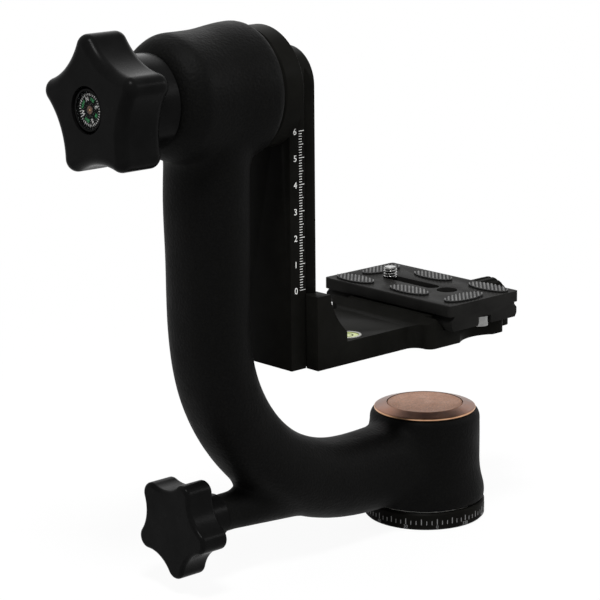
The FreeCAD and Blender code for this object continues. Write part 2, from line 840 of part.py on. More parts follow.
def rail_outline():
    """Front outline: round top about the tilt axis, square lower end."""
    x = rail_back_x
    low = V(x, -rail_half_w, rail_bottom_z)
    high = V(x, -rail_half_w, tilt_z)
    crown = V(x, 0, tilt_z + rail_half_w)
    edges = [
        line(low, high),
        arc(high, crown, V(x, rail_half_w, tilt_z)),
        line(V(x, rail_half_w, tilt_z), V(x, rail_half_w, rail_bottom_z)),
        line(V(x, rail_half_w, rail_bottom_z), low),
    ]
    return Part.Face(Part.Wire(edges)).extrude(X_AXIS * rail_depth)


def swing_rail():
    height = tilt_z + rail_half_w - rail_bottom_z
    body = prism(rail_section(rail_bottom_z), Z_AXIS * height)
    body = body.common(rail_outline())
    for spot in rail_screw_spots():
        body = body.cut(rod(rail_screw_head_r + 0.2, spot, rail_screw_head_h + 0.5, -X_AXIS))
        body = body.cut(rod(rail_screw_r, spot, rail_depth, -X_AXIS))
    stop = V(rail_front_x, 0, stop_z)
    return body.cut(rod(stop_screw_r, stop, stop_screw_len, -X_AXIS))


def rail_screws():
    solids = []
    for spot in rail_screw_spots():
        start = spot - X_AXIS * 0.5
        length = rail_screw_len - 0.5
        solids.append(cap_screw(start, -X_AXIS, rail_screw_head_r, rail_screw_head_h, rail_screw_r, length))
    return Part.makeCompound(solids)


def rail_stop_screw():
    """Button screw that keeps the platform from running off the rail's lower end."""
    top = V(rail_front_x + stop_head_h, 0, stop_z)
    head = rod(stop_head_r, top, stop_head_h, -X_AXIS)
    shank = rod(stop_screw_r, top, stop_head_h + stop_screw_len, -X_AXIS)
    return head.fuse(shank).removeSplitter()


# ---------------------------------------------------------------- platform bracket
def plan_edges(z):
    """Plan of the bracket foot: narrow neck, curved flare and scalloped clamp ends."""
    corner = clamp_half_w - leg_half_w - neck_r
    turn = math.sqrt(0.5)
    flare_x = neck_x + neck_r
    side = [
        (leg_back_x, leg_half_w),
        (neck_x, leg_half_w),
        (neck_x + neck_r * turn, leg_half_w + neck_r * (1 - turn)),
        (flare_x, leg_half_w + neck_r),
        (flare_x + corner * (1 - turn), clamp_half_w - corner * (1 - turn)),
        (flare_x + corner, clamp_half_w),
        (-scallop_half, clamp_half_w),
        (0, clamp_half_w - scallop_depth),
        (scallop_half, clamp_half_w),
        (block_end_x - block_corner, clamp_half_w),
        (block_end_x - block_corner * (1 - turn), clamp_half_w - block_corner * (1 - turn)),
        (block_end_x, clamp_half_w - block_corner),
    ]

    def half(sign):
        p = [V(x, sign * y, z) for x, y in side]
        return [
            line(p[0], p[1]),
            arc(p[1], p[2], p[3]),
            arc(p[3], p[4], p[5]),
            line(p[5], p[6]),
            arc(p[6], p[7], p[8]),
            line(p[8], p[9]),
            arc(p[9], p[10], p[11]),
        ]

    ends = [
        line(V(leg_back_x, -leg_half_w, z), V(leg_back_x, leg_half_w, z)),
        line(V(block_end_x, -side[-1][1], z), V(block_end_x, side[-1][1], z)),
    ]
    return half(1) + half(-1) + ends


def bracket_foot():
    wire = Part.Wire(Part.__sortEdges__(plan_edges(rail_bottom_z)))
    return Part.Face(wire).extrude(Z_AXIS * seat_t)


def bracket_floor():
    """Raised floor between the leg and the fixed jaw, swept up in a cove behind the jaw.

    Past the jaw's ends the cove carries on to the flare and drops in a slope to the seat.
    """
    back = block(leg_back_x, neck_x, -leg_half_w, leg_half_w, rail_bottom_z, floor_z)
    cove_top = V(-jaw_face_x - fixed_jaw_t, -clamp_half_w, jaw_top_z)
    cove_foot = V(neck_x, -clamp_half_w, floor_z)
    mid_z = floor_z + (jaw_top_z - floor_z) * 0.22
    cove_mid = V(cove_foot.x * 0.45 + cove_top.x * 0.55, -clamp_half_w, mid_z)
    seat_foot = V(neck_x, -clamp_half_w, seat_z)
    seat_end = V(-jaw_face_x - 0.2, -clamp_half_w, seat_z)
    slope_end = V(seat_end.x, -clamp_half_w, jaw_top_z - shoulder_drop)
    edges = [
        arc(cove_foot, cove_mid, cove_top),
        line(cove_top, slope_end),
        line(slope_end, seat_end),
        line(seat_end, seat_foot),
        line(seat_foot, cove_foot),
    ]
    cove = Part.Face(Part.Wire(edges)).extrude(Y_AXIS * (2 * clamp_half_w))
    plan = Part.Wire(Part.__sortEdges__(plan_edges(seat_z)))
    tall_plan = Part.Face(plan).extrude(Z_AXIS * (jaw_top_z - seat_z))
    return back.fuse(cove.common(tall_plan))


def jaw_bar(outer_x, low_z):
    """Clamp jaw on the +X side: upright bar whose lip leans over the plate's tail."""
    lip = jaw_tip_x - jaw_face_x
    slope_z = tail_slope_z + tail_nose_half + slide_gap * 1.4 - jaw_face_x
    face = [
        V(jaw_face_x, -jaw_half_w, low_z),
        V(jaw_face_x, -jaw_half_w, slope_z),
        V(jaw_tip_x, -jaw_half_w, slope_z - lip),
        V(jaw_tip_x, -jaw_half_w, jaw_top_z),
        V(outer_x - 1.2, -jaw_half_w, jaw_top_z),
        V(outer_x, -jaw_half_w, jaw_top_z - 1.2),
        V(outer_x, -jaw_half_w, low_z),
    ]
    bar = prism(face, Y_AXIS * (2 * jaw_half_w))
    plan = block(0, outer_x, -jaw_half_w, jaw_half_w, low_z, jaw_top_z)
    uprights = [
        e for e in plan.Edges
        if abs(e.Vertexes[0].Z - e.Vertexes[1].Z) > 1.0 and e.Vertexes[0].X > 1.0
    ]
    return bar.common(plan.makeFillet(jaw_corner, uprights))


def bracket_leg():
    """Upright leg with a curved gusset that stops at a step above the floor."""
    y = -leg_half_w
    top = V(leg_front_x, y, leg_top_z)
    foot = V(gusset_foot_x, y, floor_z + gusset_foot_h)
    drop = leg_top_z - foot.z
    reach = foot.x - top.x
    curve = Part.BSplineCurve()
    curve.interpolate([
        top,
        V(top.x + reach * 0.18, y, top.z - drop * 0.38),
        V(top.x + reach * 0.50, y, top.z - drop * 0.69),
        foot,
    ])
    edges = [
        line(V(leg_back_x, y, rail_bottom_z), V(leg_back_x, y, leg_top_z)),
        line(V(leg_back_x, y, leg_top_z), top),
        curve.toShape(),
        line(foot, V(gusset_foot_x, y, rail_bottom_z)),
        line(V(gusset_foot_x, y, rail_bottom_z), V(leg_back_x, y, rail_bottom_z)),
    ]
    return Part.Face(Part.Wire(edges)).extrude(Y_AXIS * (2 * leg_half_w))


def rail_channel():
    """Space that the rail's tongue runs in, with ridges left for its V grooves."""
    ridge = rail_half_w - rail_groove + lock_gap
    rise = channel_half - ridge
    half = [
        (rail_back_x, channel_half),
        (rail_groove_x - rise, channel_half),
        (rail_groove_x, ridge),
        (rail_groove_x + rise, channel_half),
        (channel_x, channel_half),
    ]
    points = [V(x, -y, rail_bottom_z) for x, y in half]
    points += [V(x, y, rail_bottom_z) for x, y in reversed(half)]
    space = prism(points, Z_AXIS * (leg_h + 1.0))
    groove_x = rail_front_x + stop_head_h + lock_gap
    groove_half = stop_head_r + lock_gap
    groove = block(channel_x - 1.0, groove_x, -groove_half, groove_half, rail_bottom_z, stop_slot_top)
    return space.fuse(groove)


def height_boss():
    start = V(rail_groove_x, height_boss_y - height_boss_len, height_z)
    return rod(height_boss_r, start, height_boss_len, Y_AXIS)


def height_bores():
    inside = V(rail_groove_x, rail_half_w - rail_groove, height_z)
    bore = rod(height_shoe_r + running_gap, inside, height_bore_end - inside.y, Y_AXIS)
    stud = rod(height_stud_r + running_gap, inside, height_boss_y - inside.y, Y_AXIS)
    return bore.fuse(stud)


def clamp_bores():
    """Threaded hole of the clamp screw and the two guide-pin holes."""
    face = V(block_end_x, 0, clamp_z)
    bores = rod(clamp_stud_r + running_gap, face, clamp_stud_in + 1.0, -X_AXIS)
    for y in (-guide_pin_y, guide_pin_y):
        bores = bores.fuse(rod(guide_pin_r + running_gap, face + Y_AXIS * y, guide_pin_in + 1.0, -X_AXIS))
    return bores


def platform_bracket():
    fixed_jaw = jaw_bar(jaw_face_x + fixed_jaw_t, rail_bottom_z + 1.0)
    fixed_jaw = fixed_jaw.mirror(ORIGIN, X_AXIS)
    body = bracket_foot().fuse([bracket_floor(), fixed_jaw, bracket_leg(), height_boss()])
    body = body.cut(rail_channel())
    body = body.cut(height_bores())
    body = body.cut(clamp_bores())
    pocket = rod(level_r, V(level_x, level_y, floor_z - level_depth), level_depth, Z_AXIS)
    return body.cut(pocket).removeSplitter()


def level_ring():
    start = V(level_x, level_y, floor_z - level_depth)
    ring = rod(level_r, start, level_depth + level_proud, Z_AXIS)
    return ring.cut(rod(level_r - level_wall, start + Z_AXIS * level_wall, level_depth + 1.0, Z_AXIS))


def level_vial():
    start = V(level_x, level_y, floor_z - level_depth + level_wall)
    return rod(level_r - level_wall, start, level_depth - level_wall, Z_AXIS)


# ---------------------------------------------------------------- height lock
def height_lock_shoe():
    """Brass plunger with a coned nose for the rail's V groove."""
    tip_y = rail_half_w - rail_groove + lock_gap + 0.4
    cone_h = height_shoe_r - shoe_tip_r
    cone = Part.makeCone(shoe_tip_r, height_shoe_r, cone_h, V(rail_groove_x, tip_y, height_z), Y_AXIS)
    body_start = V(rail_groove_x, tip_y + cone_h, height_z)
    body = rod(height_shoe_r, body_start, height_shoe_back - body_start.y, Y_AXIS)
    return cone.fuse(body)


def height_knob_y():
    return height_boss_y + seam + height_collar_len


def height_lock_screw():
    start = V(rail_groove_x, height_shoe_back, height_z)
    return rod(height_stud_r, start, height_knob_y() + knob_socket - start.y, Y_AXIS)


def height_lock_knob():
    star = (height_tip_r, height_lobe_r, height_valley_r, 0.0, height_star_depth, height_star_round)
    at = V(rail_groove_x, height_knob_y(), height_z)
    knob = star_knob(at, Y_AXIS, X_AXIS, Z_AXIS, star, height_collar_r, height_collar_len)
    start = at - Y_AXIS * height_collar_len
    return knob.cut(rod(height_stud_r, start, height_collar_len + knob_socket, Y_AXIS))


# ---------------------------------------------------------------- clamp
def movable_jaw():
    low_z = rail_bottom_z + jaw_lift
    bar = jaw_bar(jaw_outer_x, low_z)
    foot_x = block_end_x + jaw_block_gap
    foot = block(foot_x, jaw_face_x + 0.5, -jaw_half_w, jaw_half_w, low_z, seat_z)
    body = bar.fuse(foot)
    screw_at = V(foot_x, 0, clamp_z)
    body = body.cut(rod(clamp_stud_r + running_gap, screw_at, jaw_outer_x - foot_x, X_AXIS))
    for y in (-guide_pin_y, guide_pin_y):
        body = body.cut(rod(guide_pin_r, screw_at + Y_AXIS * y, guide_pin_press, X_AXIS))
    return body.removeSplitter()


def jaw_guide_pins():
    solids = []
    foot_x = block_end_x + jaw_block_gap
    for y in (-guide_pin_y, guide_pin_y):
        start = V(block_end_x - guide_pin_in, y, clamp_z)
        solids.append(rod(guide_pin_r, start, foot_x + guide_pin_press - start.x, X_AXIS))
    return Part.makeCompound(solids)


def clamp_screw():
    start = V(block_end_x - clamp_stud_in, 0, clamp_z)
    end_x = clamp_knob_x + clamp_knob_neck + knob_socket
    return rod(clamp_stud_r, start, end_x - start.x, X_AXIS)


def clamp_knob():
    """Fluted round knob on a short neck."""
    start = V(clamp_knob_x, 0, clamp_z)
    grip_at = start + X_AXIS * clamp_knob_neck
    grip = rod(clamp_knob_r, grip_at, clamp_knob_len, X_AXIS)
    grip = grip.makeFillet(clamp_knob_round, [e for e in grip.Edges if len(e.Vertexes) == 1])
    flutes = []
    for k in range(flute_count):
        spot = around(360.0 / flute_count * k, clamp_knob_r + flute_r * 0.45, grip_at, Y_AXIS, Z_AXIS)
        flutes.append(rod(flute_r, spot - X_AXIS, clamp_knob_len + 2.0, X_AXIS))
    grip = grip.cut(flutes)
    knob = grip.fuse(rod(clamp_knob_neck_r, start, clamp_knob_neck + 1.0, X_AXIS))
    return knob.cut(rod(clamp_stud_r, start, clamp_knob_neck + knob_socket, X_AXIS))


# ---------------------------------------------------------------- camera plate
def plate_profile():
    """Half-dovetail section of the plate, both sides, in the XZ plane."""
    end_y = plate_rest_y - plate_len / 2
    half = [
        (tail_nose_half - 1.2, plate_z),
        (tail_nose_half, plate_z + tail_nose_low),
        (tail_nose_half, tail_slope_z),
        (tail_neck_half, tail_slope_z + tail_nose_half - tail_neck_half),
        (tail_neck_half, flange_under_z),
        (plate_half_w, flange_under_z),
        (plate_half_w, plate_top_z - 0.4),
        (plate_half_w - 0.4, plate_top_z),
    ]
    points = [V(x, end_y, z) for x, z in half]
    points += [V(-x, end_y, z) for x, z in reversed(half)]
    return points


def pad_spots():
    """Centre from the plate centre and direction of each pad; each has a mate turned half round."""
    half_len = plate_len / 2
    first = [
        (corner_pad_in - plate_half_w, half_len - corner_pad_end, Y_AXIS),
        (plate_half_w - end_pad_in, half_len - end_pad_end, X_AXIS),
        (side_pad_in - plate_half_w, side_pad_y, Y_AXIS),
    ]
    for x, y, long_axis in first:
        yield x, pad_shift + y, long_axis
        yield -x, pad_shift - y, long_axis


def pad_solid(x, y, long_axis, start_z, height, grow):
    centre = V(x, plate_rest_y + y, start_z)
    ellipse = Part.Ellipse(centre, pad_half_long + grow, pad_half_wide + grow)
    if long_axis == Y_AXIS:
        ellipse.rotate(FreeCAD.Placement(centre, FreeCAD.Rotation(Z_AXIS, 90), ORIGIN))
    face = Part.Face(Part.Wire([ellipse.toShape()]))
    return face.extrude(Z_AXIS * height)


def plate_pads():
    """Oval rubber pads with diagonal ribs on top."""
    solids = []
    base_z = plate_top_z - pad_sink
    for x, y, long_axis in pad_spots():
        solids.append(pad_solid(x, y, long_axis, base_z, pad_sink + pad_proud, 0.0))
    return Part.makeCompound(solids)


def stop_spots():
    """Axes of the two plate stop screws, one at each end."""
    for side in (-1, 1):
        yield side, V(0, plate_rest_y + side * (plate_len / 2 - stop_inset), plate_z)


def plate_notch(side, spot):
    """Open-ended pocket for a stop screw's head."""
    head_top = plate_z - plate_stop_below + plate_stop_head_h
    radius = plate_stop_head_r + notch_gap
    height = head_top - plate_z
    round_end = rod(radius, V(0, spot.y, plate_z), height, Z_AXIS)
    out_y = spot.y + side * (stop_inset + 1.0)
    straight = block(-radius, radius, min(spot.y, out_y), max(spot.y, out_y), plate_z, head_top)
    return round_end.fuse(straight)


def camera_plate():
    body = prism(plate_profile(), Y_AXIS * plate_len)
    low_y = plate_rest_y - plate_len / 2
    outline = block(-plate_half_w, plate_half_w, low_y, low_y + plate_len, plate_z, plate_top_z)
    uprights = [e for e in outline.Edges if abs(e.Vertexes[0].Z - e.Vertexes[1].Z) > 1.0]
    body = body.common(outline.makeFillet(plate_corner, uprights))
    near = plate_rest_y + slot_start
    far = plate_rest_y + slot_end
    body = body.cut(slot_space(slot_half_w, near, far, plate_z, plate_t))
    body = body.cut(slot_space(slot_recess_half, near, far, plate_z, slot_recess_h))
    body = body.cut(rod(spare_hole_r, V(0, plate_rest_y + spare_hole_y, plate_z), plate_t, Z_AXIS))
    for x, y, long_axis in pad_spots():
        body = body.cut(pad_solid(x, y, long_axis, plate_top_z - pad_sink, pad_sink + 1.0, 0.05))
    for side, spot in stop_spots():
        body = body.cut(plate_notch(side, spot))
        head_top = plate_z - plate_stop_below + plate_stop_head_h
        body = body.cut(rod(plate_stop_r, V(0, spot.y, head_top), plate_stop_len, Z_AXIS))
    return body


def slot_space(half_w, near_y, far_y, z, height):
    """Round-ended slot along Y."""
    middle = block(-half_w, half_w, near_y, far_y, z, z + height)
    near_end = rod(half_w, V(0, near_y, z), height, Z_AXIS)
    return middle.fuse([near_end, rod(half_w, V(0, far_y, z), height, Z_AXIS)])


def plate_stop_screws():
    solids = []
    for side, spot in stop_spots():
        start = V(0, spot.y, plate_z - plate_stop_below)
        length = plate_stop_head_h + plate_stop_len
        solids.append(cap_screw(start, Z_AXIS, plate_stop_head_r, plate_stop_head_h, plate_stop_r, length))
    return Part.makeCompound(solids)


def camera_screw():
    """1/4-20 camera screw: slotted head under the plate, slim neck and threaded end."""
    head_z = plate_z + camera_head_low
    at = V(0, camera_screw_y, head_z)
    top_z = plate_top_z + camera_screw_proud
    thread_z = top_z - camera_thread_len
    thread = rod(camera_screw_r, V(0, at.y, thread_z), camera_thread_len, Z_AXIS)
    tip = [e for e in thread.Edges if len(e.Vertexes) == 1 and e.Vertexes[0].Z > top_z - 0.1]
    thread = thread.makeChamfer(0.7, tip)
    neck = rod(camera_neck_r, at, thread_z - head_z, Z_AXIS)
    head = rod(camera_head_r, at, camera_head_h, Z_AXIS)
    slot = block(-camera_head_r, camera_head_r, at.y - 0.8, at.y + 0.8, head_z, head_z + 1.4)
    return head.fuse([neck, thread]).cut(slot)


def camera_screw_washer():
    start = V(0, camera_screw_y, plate_z + camera_head_low + camera_head_h)
    return tube(camera_washer_r, camera_neck_r + running_gap, start, camera_washer_t, Z_AXIS)


# ---------------------------------------------------------------- all pieces
def main():
    pieces = [
        pan_base, socket_bushing, pan_spindle, spindle_screws, spindle_nut, pan_thrust_washer,
        swing_arm, pan_bush_lower, pan_bush_upper, cap_ring, cap_disc,
        tilt_bush_inner, tilt_bush_outer, barrel_end_cover,
        pan_lock_shoe, pan_lock_screw, pan_lock_knob,
        tilt_lock_disc, tilt_lock_screw, tilt_lock_knob,
        compass_case, compass_card, compass_pivot, compass_lens,
        tilt_shaft, tilt_nut, tilt_thrust_washer, tilt_flange, swing_rail, rail_screws, rail_stop_screw,
        platform_bracket, level_ring, level_vial,
        height_lock_shoe, height_lock_screw, height_lock_knob,
        movable_jaw, jaw_guide_pins, clamp_screw, clamp_knob,
        camera_plate, plate_pads, plate_stop_screws,
        camera_screw, camera_screw_washer,
    ]
    for piece in pieces:
        save(piece.__name__, piece())


os.makedirs("parts", exist_ok=True)
main()
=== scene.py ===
import json
import math

import bmesh
import bpy
import numpy as np
from bpy.props import FloatProperty, FloatVectorProperty, IntProperty, PointerProperty
from mathutils import Matrix, Vector

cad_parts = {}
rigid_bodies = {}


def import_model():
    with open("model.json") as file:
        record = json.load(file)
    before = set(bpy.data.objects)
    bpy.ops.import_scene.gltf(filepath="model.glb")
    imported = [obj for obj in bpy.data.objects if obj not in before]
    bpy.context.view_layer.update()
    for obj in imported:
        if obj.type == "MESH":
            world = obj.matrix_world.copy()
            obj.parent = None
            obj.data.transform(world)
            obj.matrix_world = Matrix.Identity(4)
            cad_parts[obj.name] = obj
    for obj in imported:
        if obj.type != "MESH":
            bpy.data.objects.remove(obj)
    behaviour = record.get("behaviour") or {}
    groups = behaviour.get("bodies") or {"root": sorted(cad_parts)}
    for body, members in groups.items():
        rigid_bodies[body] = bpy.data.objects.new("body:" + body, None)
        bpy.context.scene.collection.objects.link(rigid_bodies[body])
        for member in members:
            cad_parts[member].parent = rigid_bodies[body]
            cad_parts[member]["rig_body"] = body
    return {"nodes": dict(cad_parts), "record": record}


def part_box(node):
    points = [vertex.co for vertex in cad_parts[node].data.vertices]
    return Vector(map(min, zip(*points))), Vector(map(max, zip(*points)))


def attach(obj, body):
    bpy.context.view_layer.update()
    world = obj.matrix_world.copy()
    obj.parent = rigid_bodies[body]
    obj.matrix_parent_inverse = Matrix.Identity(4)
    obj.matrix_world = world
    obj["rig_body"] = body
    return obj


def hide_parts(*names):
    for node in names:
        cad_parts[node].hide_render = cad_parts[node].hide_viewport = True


bl_info = {
    "name": "Gimbal Head Dresser",
    "version": (1, 0, 0),
    "blender": (4, 5, 0),
    "location": "View3D > Sidebar > Gimbal Head",
    "description": "Dresses a gimbal tripod head: castings, knobs, scales, compass and camera plate",
    "category": "Object",
}

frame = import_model()
bpy.context.view_layer.update()
MM = 0.001
UP = (0, 0, 1)
DIAL_RIGHT = (0, -1, 0)    # as read on a face that looks along -X
CAD_WELD = 1e-6            # points of a part's mesh closer than this are one
LETTER_WELD = 1e-7         # and those of a letter's mesh
CAP_HEIGHT = 0.7           # height of a digit as a share of the font's size
RING_BANDS = 3.2           # bands of a ring texture in a metre at scale 1
MARK_ANGLE = 20.0          # edges of marks sharper than this stay hard


# ---------------------------------------------------------------- values a user may change
class HeadSizes(bpy.types.PropertyGroup):
    """Sizes of the visible details"""
    skin_cell: FloatProperty(
        name="Casting mesh size", description="Cell size of the cast arm's skin",
        default=1.0 * MM, unit="LENGTH", precision=5)
    blend_passes: IntProperty(
        name="Casting blends", description="How far the hollows where limbs meet are filled",
        default=60, min=0)
    mark_rise: FloatProperty(
        name="Mark thickness", description="How far the painted marks stand out",
        default=0.05 * MM, unit="LENGTH", precision=5)
    degree_width: FloatProperty(
        name="Degree mark width", description="Width of a mark on the pan scale",
        default=0.38 * MM, unit="LENGTH", precision=5)
    degree_offset: FloatProperty(
        name="Pan scale turn", description="Angle of the first long mark from -Y",
        default=math.radians(-3.25), subtype="ANGLE")
    height_pitch: FloatProperty(
        name="Height scale pitch", description="Distance between two numbers on the rail",
        default=11.57 * MM, unit="LENGTH", precision=5)
    height_zero: FloatProperty(
        name="Height scale zero", description="Height of the zero mark",
        default=126.1 * MM, unit="LENGTH", precision=5)
    rib_pitch: FloatProperty(
        name="Pad rib pitch", description="Distance between two ribs of a rubber pad",
        default=1.7 * MM, unit="LENGTH", precision=5)
    rib_depth: FloatProperty(
        name="Pad rib depth", description="Depth of the grooves between the ribs",
        default=0.6 * MM, unit="LENGTH", precision=5)
    edge_break: FloatProperty(
        name="Edge break", description="Bevel on the edges of machined parts",
        default=0.3 * MM, unit="LENGTH", precision=5)
    thread_pitch: FloatProperty(
        name="Camera thread pitch", description="Pitch of the camera screw",
        default=1.27 * MM, unit="LENGTH", precision=5)
    thread_core: FloatProperty(
        name="Camera thread core", description="Radius of the solid core inside the camera screw's thread",
        default=2.4 * MM, unit="LENGTH", precision=5)


class HeadColours(bpy.types.PropertyGroup):
    """Colours of the finishes"""
    cast: FloatVectorProperty(
        name="Cast arm", description="Grained black coat", subtype="COLOR", size=3,
        default=(0.0019, 0.0019, 0.0018))
    knob: FloatVectorProperty(
        name="Knobs", description="Satin black plastic", subtype="COLOR", size=3,
        default=(0.0034, 0.0034, 0.0034))
    anodised: FloatVectorProperty(
        name="Rail and bracket", description="Black anodised aluminium", subtype="COLOR", size=3,
        default=(0.0052, 0.0051, 0.0045))
    plate: FloatVectorProperty(
        name="Camera plate", description="Bead-blasted black anodised aluminium", subtype="COLOR", size=3,
        default=(0.011, 0.0108, 0.0103))
    bronze: FloatVectorProperty(
        name="Cap ring", description="Bronze anodised ring", subtype="COLOR", size=3,
        default=(0.13, 0.043, 0.015))
    disc: FloatVectorProperty(
        name="Cap disc", description="Fine-grained bronze disc", subtype="COLOR", size=3,
        default=(0.26, 0.115, 0.055))
    paint: FloatVectorProperty(
        name="Scale paint", description="White of the scales", subtype="COLOR", size=3,
        default=(0.66, 0.66, 0.64))
    dim_paint: FloatVectorProperty(
        name="Pan scale paint", description="Dull grey of the degree marks", subtype="COLOR", size=3,
        default=(0.15, 0.15, 0.15))
    green: FloatVectorProperty(
        name="Dial green", description="Green letters of the compass", subtype="COLOR", size=3,
        default=(0.025, 0.26, 0.08))


class HeadStage(bpy.types.PropertyGroup):
    """Light and background"""
    key: FloatProperty(
        name="Key light", description="Power of the softbox above", default=12.0, unit="POWER")
    fill: FloatProperty(
        name="Fill light", description="Power of the softbox at the right", default=5.0, unit="POWER")
    back: FloatProperty(
        name="Back light", description="Power of the softbox behind", default=5.0, unit="POWER")
    sky: FloatProperty(name="Room light", description="Even light from all round", default=0.45, min=0)


def sizes():
    """The sizes a user may change."""
    return bpy.context.scene.gimbal_sizes


def colours():
    """The colours a user may change."""
    return bpy.context.scene.gimbal_colours


# ---------------------------------------------------------------- finishes
class Finish:
    """One material and short calls for its nodes."""

    def __init__(self, name, colour, roughness, metallic=0.0, specular=0.5):
        self.colour = colour
        self.material = bpy.data.materials.new(name)
        self.material.use_nodes = True
        self.tree = self.material.node_tree
        self.shader = self.tree.nodes["Principled BSDF"]
        self.set("Base Color", (*colour, 1.0))
        self.set("Roughness", roughness)
        self.set("Metallic", metallic)
        self.set("Specular IOR Level", specular)
        self.material.diffuse_color = (*colour, 1.0)
        self.last_bump = None

    def set(self, socket, value):
        """A value on the shader's own socket."""
        self.shader.inputs[socket].default_value = value

    def node(self, kind, inputs=None, **values):
        """A new node with its settings and the values of its inputs."""
        made = self.tree.nodes.new(kind)
        for key, value in values.items():
            setattr(made, key, value)
        for socket, value in (inputs or {}).items():
            made.inputs[socket].default_value = value
        return made

    def link(self, start, end):
        self.tree.links.new(start, end)

    def place(self, centre=(0, 0, 0), stretch=(1, 1, 1)):
        """Object coordinates, centred and stretched."""
        source = self.node("ShaderNodeTexCoord")
        shift = [-c * s for c, s in zip(centre, stretch)]
        mapping = self.node("ShaderNodeMapping", {"Scale": stretch, "Location": shift}, vector_type="POINT")
        self.link(source.outputs["Object"], mapping.inputs["Vector"])
        return mapping.outputs["Vector"]

    def noise(self, where, scale, detail=3.0, rough=0.6):
        """Cloudy noise; the scale is in clouds a metre."""
        made = self.node("ShaderNodeTexNoise", {"Scale": scale, "Detail": detail, "Roughness": rough})
        self.link(where, made.inputs["Vector"])
        return made.outputs["Fac"]

    def cells(self, where, scale):
        """Rounded cells; the scale is in cells a metre."""
        made = self.node("ShaderNodeTexVoronoi", {"Scale": scale}, feature="SMOOTH_F1")
        self.link(where, made.inputs["Vector"])
        return made.outputs["Distance"]

    def rings(self, where, scale):
        """Fine even rings round the middle."""
        made = self.node(
            "ShaderNodeTexWave", {"Scale": scale, "Distortion": 0.0},
            wave_type="RINGS", rings_direction="SPHERICAL", wave_profile="SIN")
        self.link(where, made.inputs["Vector"])
        return made.outputs["Fac"]

    def shade(self, factor, low, high, start=0.35, end=0.65):
        """Colour from low to high as the factor goes from start to end."""
        ramp = self.node("ShaderNodeValToRGB")
        for stop, position, colour in zip(ramp.color_ramp.elements, (start, end), (low, high)):
            stop.position = position
            stop.color = (*colour, 1.0)
        self.link(factor, ramp.inputs["Fac"])
        return ramp.outputs["Color"]

    def level(self, factor, low, high, start=0.3, end=0.7):
        """Number from low to high as the factor goes from start to end."""
        made = self.node("ShaderNodeMapRange", {
            "From Min": start, "From Max": end, "To Min": low, "To Max": high})
        self.link(factor, made.inputs["Value"])
        return made.outputs["Result"]

    def bump(self, height, distance, strength=1.0):
        """Relief on top of what the finish already has."""
        made = self.node("ShaderNodeBump", {"Distance": distance, "Strength": strength})
        self.link(height, made.inputs["Height"])
        if self.last_bump:
            self.link(self.last_bump, made.inputs["Normal"])
        self.last_bump = made.outputs["Normal"]
        self.link(self.last_bump, self.shader.inputs["Normal"])

    def height(self, low, high):
        """Share from 0 at the lower height to 1 at the upper one."""
        where = self.place((0, 0, low), (1, 1, 1 / (high - low)))
        split = self.node("ShaderNodeSeparateXYZ")
        self.link(where, split.inputs[0])
        return split.outputs["Z"]

    def mix(self, share, low, high):
        """Two colour sockets blended by the share; 6, 7 and 2 are the node's colour sockets."""
        made = self.node("ShaderNodeMix", data_type="RGBA")
        self.link(share, made.inputs["Factor"])
        self.link(low, made.inputs[6])
        self.link(high, made.inputs[7])
        return made.outputs[2]

    def colour_by(self, socket):
        self.link(socket, self.shader.inputs["Base Color"])

    def vary(self, factor, dark, light, start=0.35, end=0.65):
        """Shares of the finish's own colour, from dark to light by the factor."""
        self.colour_by(self.shade(factor, tint(self.colour, dark), tint(self.colour, light), start, end))

    def rough(self, factor, low, high):
        """Roughness from low to high by the factor."""
        self.link(self.level(factor, low, high), self.shader.inputs["Roughness"])


def tint(colour, share):
    """The colour made darker or lighter."""
    return tuple(min(1.0, c * share) for c in colour)


def cast_finish():
    """Wrinkled powder coat: fine dark grain with slightly lighter crests."""
    made = Finish("cast_black_coat", tuple(colours().cast), 0.5, specular=0.035)
    where = made.place()
    grain = made.noise(where, 1500.0, 4.0, 0.7)
    patches = made.noise(where, 45.0, 3.0)
    made.vary(grain, 0.7, 1.9, 0.4, 0.68)
    made.rough(patches, 0.48, 0.62)
    made.bump(patches, 0.08 * MM, 0.6)
    made.bump(made.cells(where, 850.0), 0.16 * MM, 0.9)
    made.bump(grain, 0.06 * MM, 0.8)
    return made.material


def plastic_finish():
    """Satin moulded plastic of the knobs."""
    made = Finish("knob_plastic", tuple(colours().knob), 0.28, specular=0.022)
    where = made.place()
    grain = made.noise(where, 2600.0, 3.0, 0.6)
    hand = made.noise(where, 70.0, 4.0)
    made.vary(hand, 0.85, 1.3)
    made.rough(hand, 0.2, 0.3)
    made.bump(grain, 0.02 * MM, 0.7)
    return made.material


def anodised_finish(name, base, low=0.3, high=0.4, grain_scale=3500.0, depth=0.015 * MM, specular=0.006):
    """Dyed anodised aluminium: even satin grain, a little brighter where it is handled."""
    made = Finish(name, base, low, specular=specular)
    where = made.place()
    grain = made.noise(where, grain_scale, 3.0, 0.65)
    wear = made.noise(where, 60.0, 5.0)
    made.vary(wear, 0.85, 1.25)
    made.rough(wear, low, high)
    made.bump(grain, depth, 0.8)
    return made.material


def turned_relief(made, where, ring_scale):
    """Tool lines and a fine grain."""
    made.bump(made.rings(where, ring_scale), 0.01 * MM, 0.5)
    made.bump(made.noise(where, 2500.0, 2.0), 0.01 * MM, 0.5)


def turned_finish(name, base, roughness, centre, pitch):
    """Lathe-turned metal: fine circular tool lines about a centre."""
    made = Finish(name, base, roughness, 1.0)
    where = made.place(centre)
    cloud = made.noise(where, 220.0, 4.0)
    made.vary(cloud, 0.75, 1.1)
    made.rough(cloud, roughness * 0.85, roughness * 1.2)
    turned_relief(made, where, 1.0 / pitch / RING_BANDS)
    return made.material


